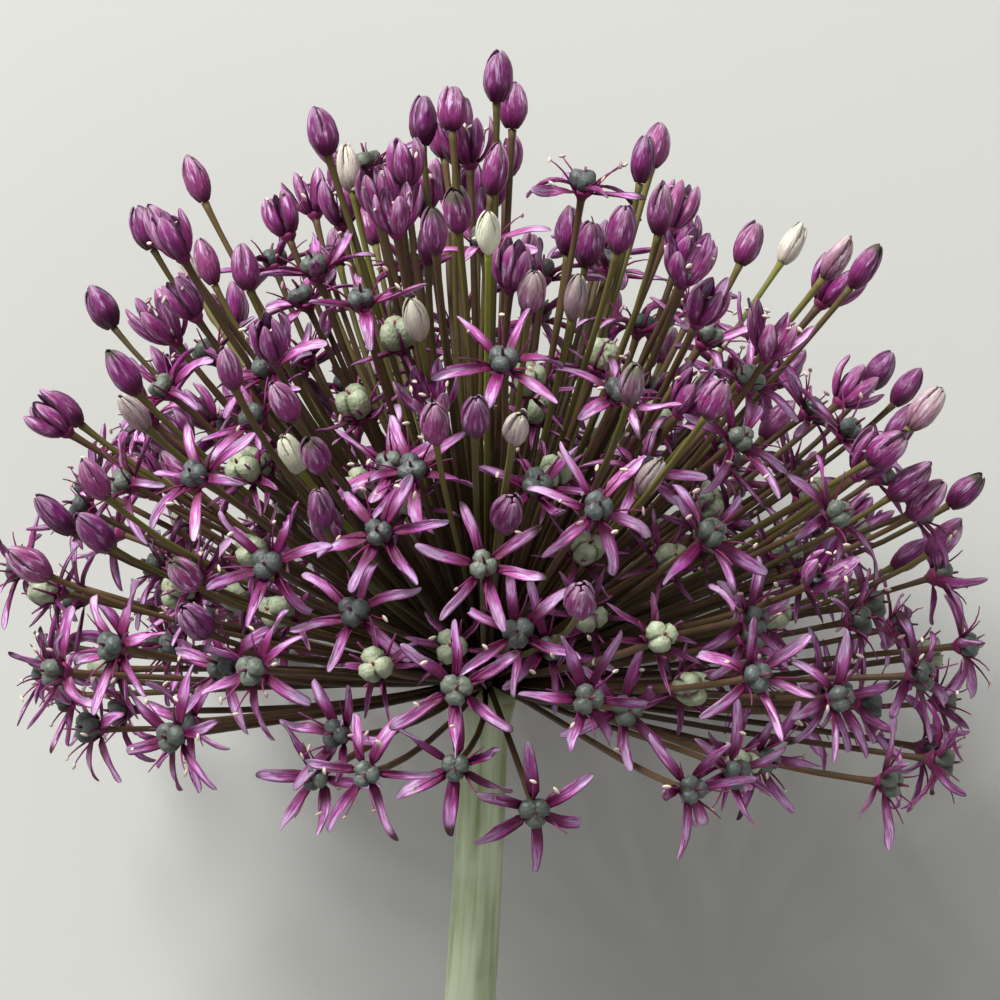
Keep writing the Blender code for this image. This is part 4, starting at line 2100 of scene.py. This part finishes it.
@dataclass(frozen=True)
class Stalk:
    """The scape with the receptacle on top of it."""

    plan: HeadPlan
    waist: float = 0.62 * MM
    waist_length: float = 26 * MM
    swell: float = 1.1 * MM
    swell_length: float = 3.2 * MM
    bend: float = 4.5 * MM
    straight: float = 4 * MM
    top: float = 0.4 * MM
    sides: int = 40
    rows: int = 46
    ribs: int = 11
    rib_depth: float = 0.007
    unevenness: float = 0.012
    rim: float = 0.997
    rim_width: float = 0.985
    cut_rings: tuple[float, ...] = (1.0, 0.93, 0.62, 0.3)
    cut_step: float = 0.001
    dome: float = 4.6 * MM
    collar: float = 0.35
    collar_width: float = 0.72
    receptacle_depth: float = 1.6 * MM
    slimming: float = 0.82
    knuckle_scale: float = 900.0
    knuckle_depth: float = 0.05
    receptacle_sides: int = 30
    collar_rows: tuple[float, ...] = (0, 0.001, 0.06, 0.14, 0.22, 0.3)
    dome_rows: tuple[float, ...] = (0.38, 0.46, 0.55, 0.64, 0.73, 0.82, 0.91, 1)
    finish: StalkFinish = StalkFinish(
        "receptacle",
        root=(0.200, 0.240, 0.110),
        middle=(0.090, 0.085, 0.034),
        tip=(0.060, 0.040, 0.022),
        unripe=(0.20, 0.23, 0.1),
        bloom=(0.180, 0.180, 0.100),
    )

    def _radius(self, below: float) -> float:
        """Radius of the scape at a distance below its top."""
        waist = self.waist * math.exp(-below / self.waist_length)
        swell = self.swell * math.exp(-((below / self.swell_length) ** 2))
        return self.plan.scape_radius - waist + swell

    def _centre(self, below: float) -> Vector:
        """Centre of the scape at a distance below its top."""
        bent = max(0, below - self.straight) / self.plan.scape_length
        return Vector((-self.bend * bent**2, 0, -self.top - below))

    def _cut_ring(self, along: float) -> float:
        """Width of the cut end at a share along that passes 1 by a step for each ring."""
        ring = round((along - 1) / self.cut_step)
        return self.cut_rings[min(len(self.cut_rings) - 1, max(0, ring))]

    def build_scape(self) -> Object:
        """Draws the scape down to its cut end.

        Returns:
            The piece, whose field blade tells the cut end and whose field girth its rings.
        """
        lying = self.plan.lying()
        length = self.plan.scape_length - self.top
        sleeve = Sleeve()
        skin = [step / self.rows for step in range(1, self.rows)]
        cut = [1 + self.cut_step * step for step in range(len(self.cut_rings))]
        centre_ring = 1 + self.cut_step * (len(self.cut_rings) + 1)

        def place(along: float, across: float, up: float) -> Vector:
            """Point of the ribbed skin, or of the cut end past the rim."""
            below = length * min(1, along)
            angle = math.atan2(up, across)
            ribs = 1 + self.rib_depth * (math.sin(self.ribs * angle + along * 3) - 1)
            ribs += self.unevenness * noise.noise(Vector((across, up, along * 9)))
            radius = self._radius(below) * min(1.0, ribs)
            if along > self.rim:
                radius *= self._cut_ring(along) * self.rim_width
            return lying @ (self._centre(below) + Vector((across, up, 0)) * radius)

        rows = [0, 0.0005, *skin, self.rim, *cut, centre_ring + self.cut_step]
        sleeve.grow(rows, round_ring(self.sides), place)
        for vert in sleeve.bm.verts:
            along = vert[sleeve.fields["along"]]
            is_centre = along >= centre_ring
            vert[sleeve.fields["blade"]] = 1.0 if along > 1 + self.cut_step / 2 else 0.0
            vert[sleeve.fields["girth"]] = 0.0 if is_centre else self._cut_ring(along)
        piece = add_object("scape_fine", sleeve.finish("scape_fine"))
        piece.data.materials.append(ScapeFinish().make())
        return piece

    def build_receptacle(self) -> Object:
        """Draws the knuckled top that the pedicels grow from.

        Returns:
            The piece.
        """
        lying = self.plan.lying()
        sleeve = Sleeve()
        widest = self.plan.receptacle_radius * self.slimming

        def place(along: float, across: float, up: float) -> Vector:
            """Point of the collar or of the dome above it, with its knuckles."""
            if along < self.collar:
                share = along / self.collar
                spread = math.sin(math.pi / 2 * share) * (1 - self.collar_width)
                radius = widest * (self.collar_width + spread)
                height = -self.receptacle_depth * (1 - share)
            else:
                angle = (along - self.collar) / (1 - self.collar) * math.pi / 2
                radius, height = widest * math.cos(angle), self.dome * math.sin(angle)
            point = Vector((across * radius, up * radius, height))
            knuckle = noise.noise(point * self.knuckle_scale) * (0.1 if along < 0.06 else 1)
            return lying @ (point * (1 + self.knuckle_depth * knuckle))

        rows = (*self.collar_rows, *self.dome_rows)
        sleeve.grow(rows, round_ring(self.receptacle_sides), place)
        piece = add_object("receptacle", sleeve.finish("receptacle"))
        piece.data.materials.append(self.finish.make())
        return piece


# Where it is seen


@dataclass(frozen=True)
class Softbox:
    """Square light; its place counts up, towards the camera and right of the umbel's centre."""

    name: str
    above: float
    nearer: float
    aside: float
    size: float
    power: float


@dataclass(frozen=True)
class Studio:
    """Pale floor, soft light and the camera that looks down on the lying flower."""

    plan: HeadPlan
    distance: float = 600 * MM
    view_width: float = 120 * MM
    sensor: float = 36.0
    clip: tuple[float, float] = (0.05, 20.0)
    look_up: float = 9.5
    roll: float = 2.5
    aim_above: float = 22.8 * MM
    aim_aside: float = 0.6 * MM
    floor_size: float = 4.0
    floor_colour: Colour = (0.43, 0.43, 0.407)
    sky: float = 0.43
    softboxes: tuple[Softbox, ...] = (
        Softbox("key", above=0.85, nearer=0.65, aside=-0.58, size=0.45, power=26.0),
        Softbox("fill", above=-0.3, nearer=0.9, aside=0.6, size=0.8, power=1.8),
    )

    def _axes(self) -> tuple[Vector, Vector, Vector, Vector]:
        """Finds the axes of the view.

        Returns:
            Centre of the umbel, and the right, up and backward directions.
        """
        lying = self.plan.lying()
        turn = lying.to_3x3()
        axis, front = turn @ UP, turn @ Vector((0, -1, 0))
        lift = math.radians(self.look_up)
        backward = front * math.cos(lift) + axis * math.sin(lift)
        upward = axis * math.cos(lift) - front * math.sin(lift)
        return lying.translation, upward.cross(backward), upward, backward

    def build_camera(self) -> None:
        """Sets up the camera, aimed so that it needs no shift."""
        centre, right, upward, backward = self._axes()
        data = bpy.data.cameras.new("camera")
        data.sensor_width = self.sensor
        data.lens = self.sensor * self.distance / self.view_width
        data.clip_start, data.clip_end = self.clip
        camera = bpy.data.objects.new("camera", data)
        bpy.context.scene.collection.objects.link(camera)
        place = centre + backward * self.distance
        aim = centre + upward * self.aim_above + right * self.aim_aside
        back = (place - aim).normalized()
        side = upward.cross(back).normalized()
        turn = Matrix((side, back.cross(side), back)).transposed()
        turn = turn @ Matrix.Rotation(math.radians(self.roll), 3, "Z")
        camera.matrix_world = Matrix.Translation(place) @ turn.to_4x4()
        bpy.context.scene.camera = camera

    def build_floor(self) -> None:
        """Lays the floor."""
        half = self.floor_size / 2
        corners = [(-half, -half, 0), (half, -half, 0), (half, half, 0), (-half, half, 0)]
        mesh = bpy.data.meshes.new("floor")
        mesh.from_pydata(corners, [], [(0, 1, 2, 3)])
        sockets = {"Base Color": self.floor_colour, "Roughness": 0.9, "Specular IOR Level": 0.1}
        mesh.materials.append(Skin("floor").finish(sockets))
        add_object("floor", mesh)

    def _hang(self, box: Softbox) -> None:
        """Hangs one light, turned to the umbel's centre.

        Args:
            box: The light.
        """
        centre, right, upward, backward = self._axes()
        data = bpy.data.lights.new(box.name, "AREA")
        data.size, data.energy = box.size, box.power
        light = bpy.data.objects.new(box.name, data)
        bpy.context.scene.collection.objects.link(light)
        away = upward * box.above + backward * box.nearer + right * box.aside
        turn = away.to_track_quat("Z", "Y").to_matrix().to_4x4()
        light.matrix_world = Matrix.Translation(centre + away) @ turn

    def build_light(self) -> None:
        """Hangs the softboxes and sets an even sky."""
        for box in self.softboxes:
            self._hang(box)
        world = bpy.data.worlds.new("studio")
        world.use_nodes = True
        bench = Bench(world.node_tree)
        sockets = {"Color": (1.0, 1.0, 1.0), "Strength": self.sky}
        sky = bench.add("ShaderNodeBackground", None, sockets)
        bench.add("ShaderNodeOutputWorld", None, {"Surface": sky})
        bpy.context.scene.world = world
        bpy.context.scene.view_settings.view_transform = "Standard"


def main() -> None:
    """Grows every piece, in the order of the flower from its tepals down."""
    logging.basicConfig(level=logging.INFO, format="%(name)s: %(message)s")
    plan = HeadPlan()
    draw = random.Random(LOOK_SEED)
    florets = plan.lay_down(draw)
    by_age = {age: [floret for floret in florets if floret.age is age] for age in Age}
    bloomed = [floret for floret in florets if floret.age is not Age.BUD]
    nursery = Nursery(SweepTree(), StandTree())
    stamens, stalk = Stamens(bloomed), Stalk(plan)
    pieces = [
        OpenTepals(by_age[Age.STAR]).build(nursery, draw),
        FadingTepals(by_age[Age.FADING]).build(nursery, draw),
        CupTepals(by_age[Age.CUP]).build(nursery, draw),
        Buds(by_age[Age.BUD]).build(nursery, draw),
        Ovaries(bloomed).build(nursery, draw),
        FloretBases(bloomed).build(nursery, draw),
        *stamens.build(nursery, draw),
        stamens.build_styles(nursery, draw),
        Pedicels(florets).build(nursery, draw),
        stalk.build_receptacle(),
    ]
    for piece in pieces:
        hand_over(piece, "umbel")
    hand_over(stalk.build_scape(), "scape")
    studio = Studio(plan)
    studio.build_floor()
    studio.build_light()
    studio.build_camera()


if __name__ == "__main__":
    main()
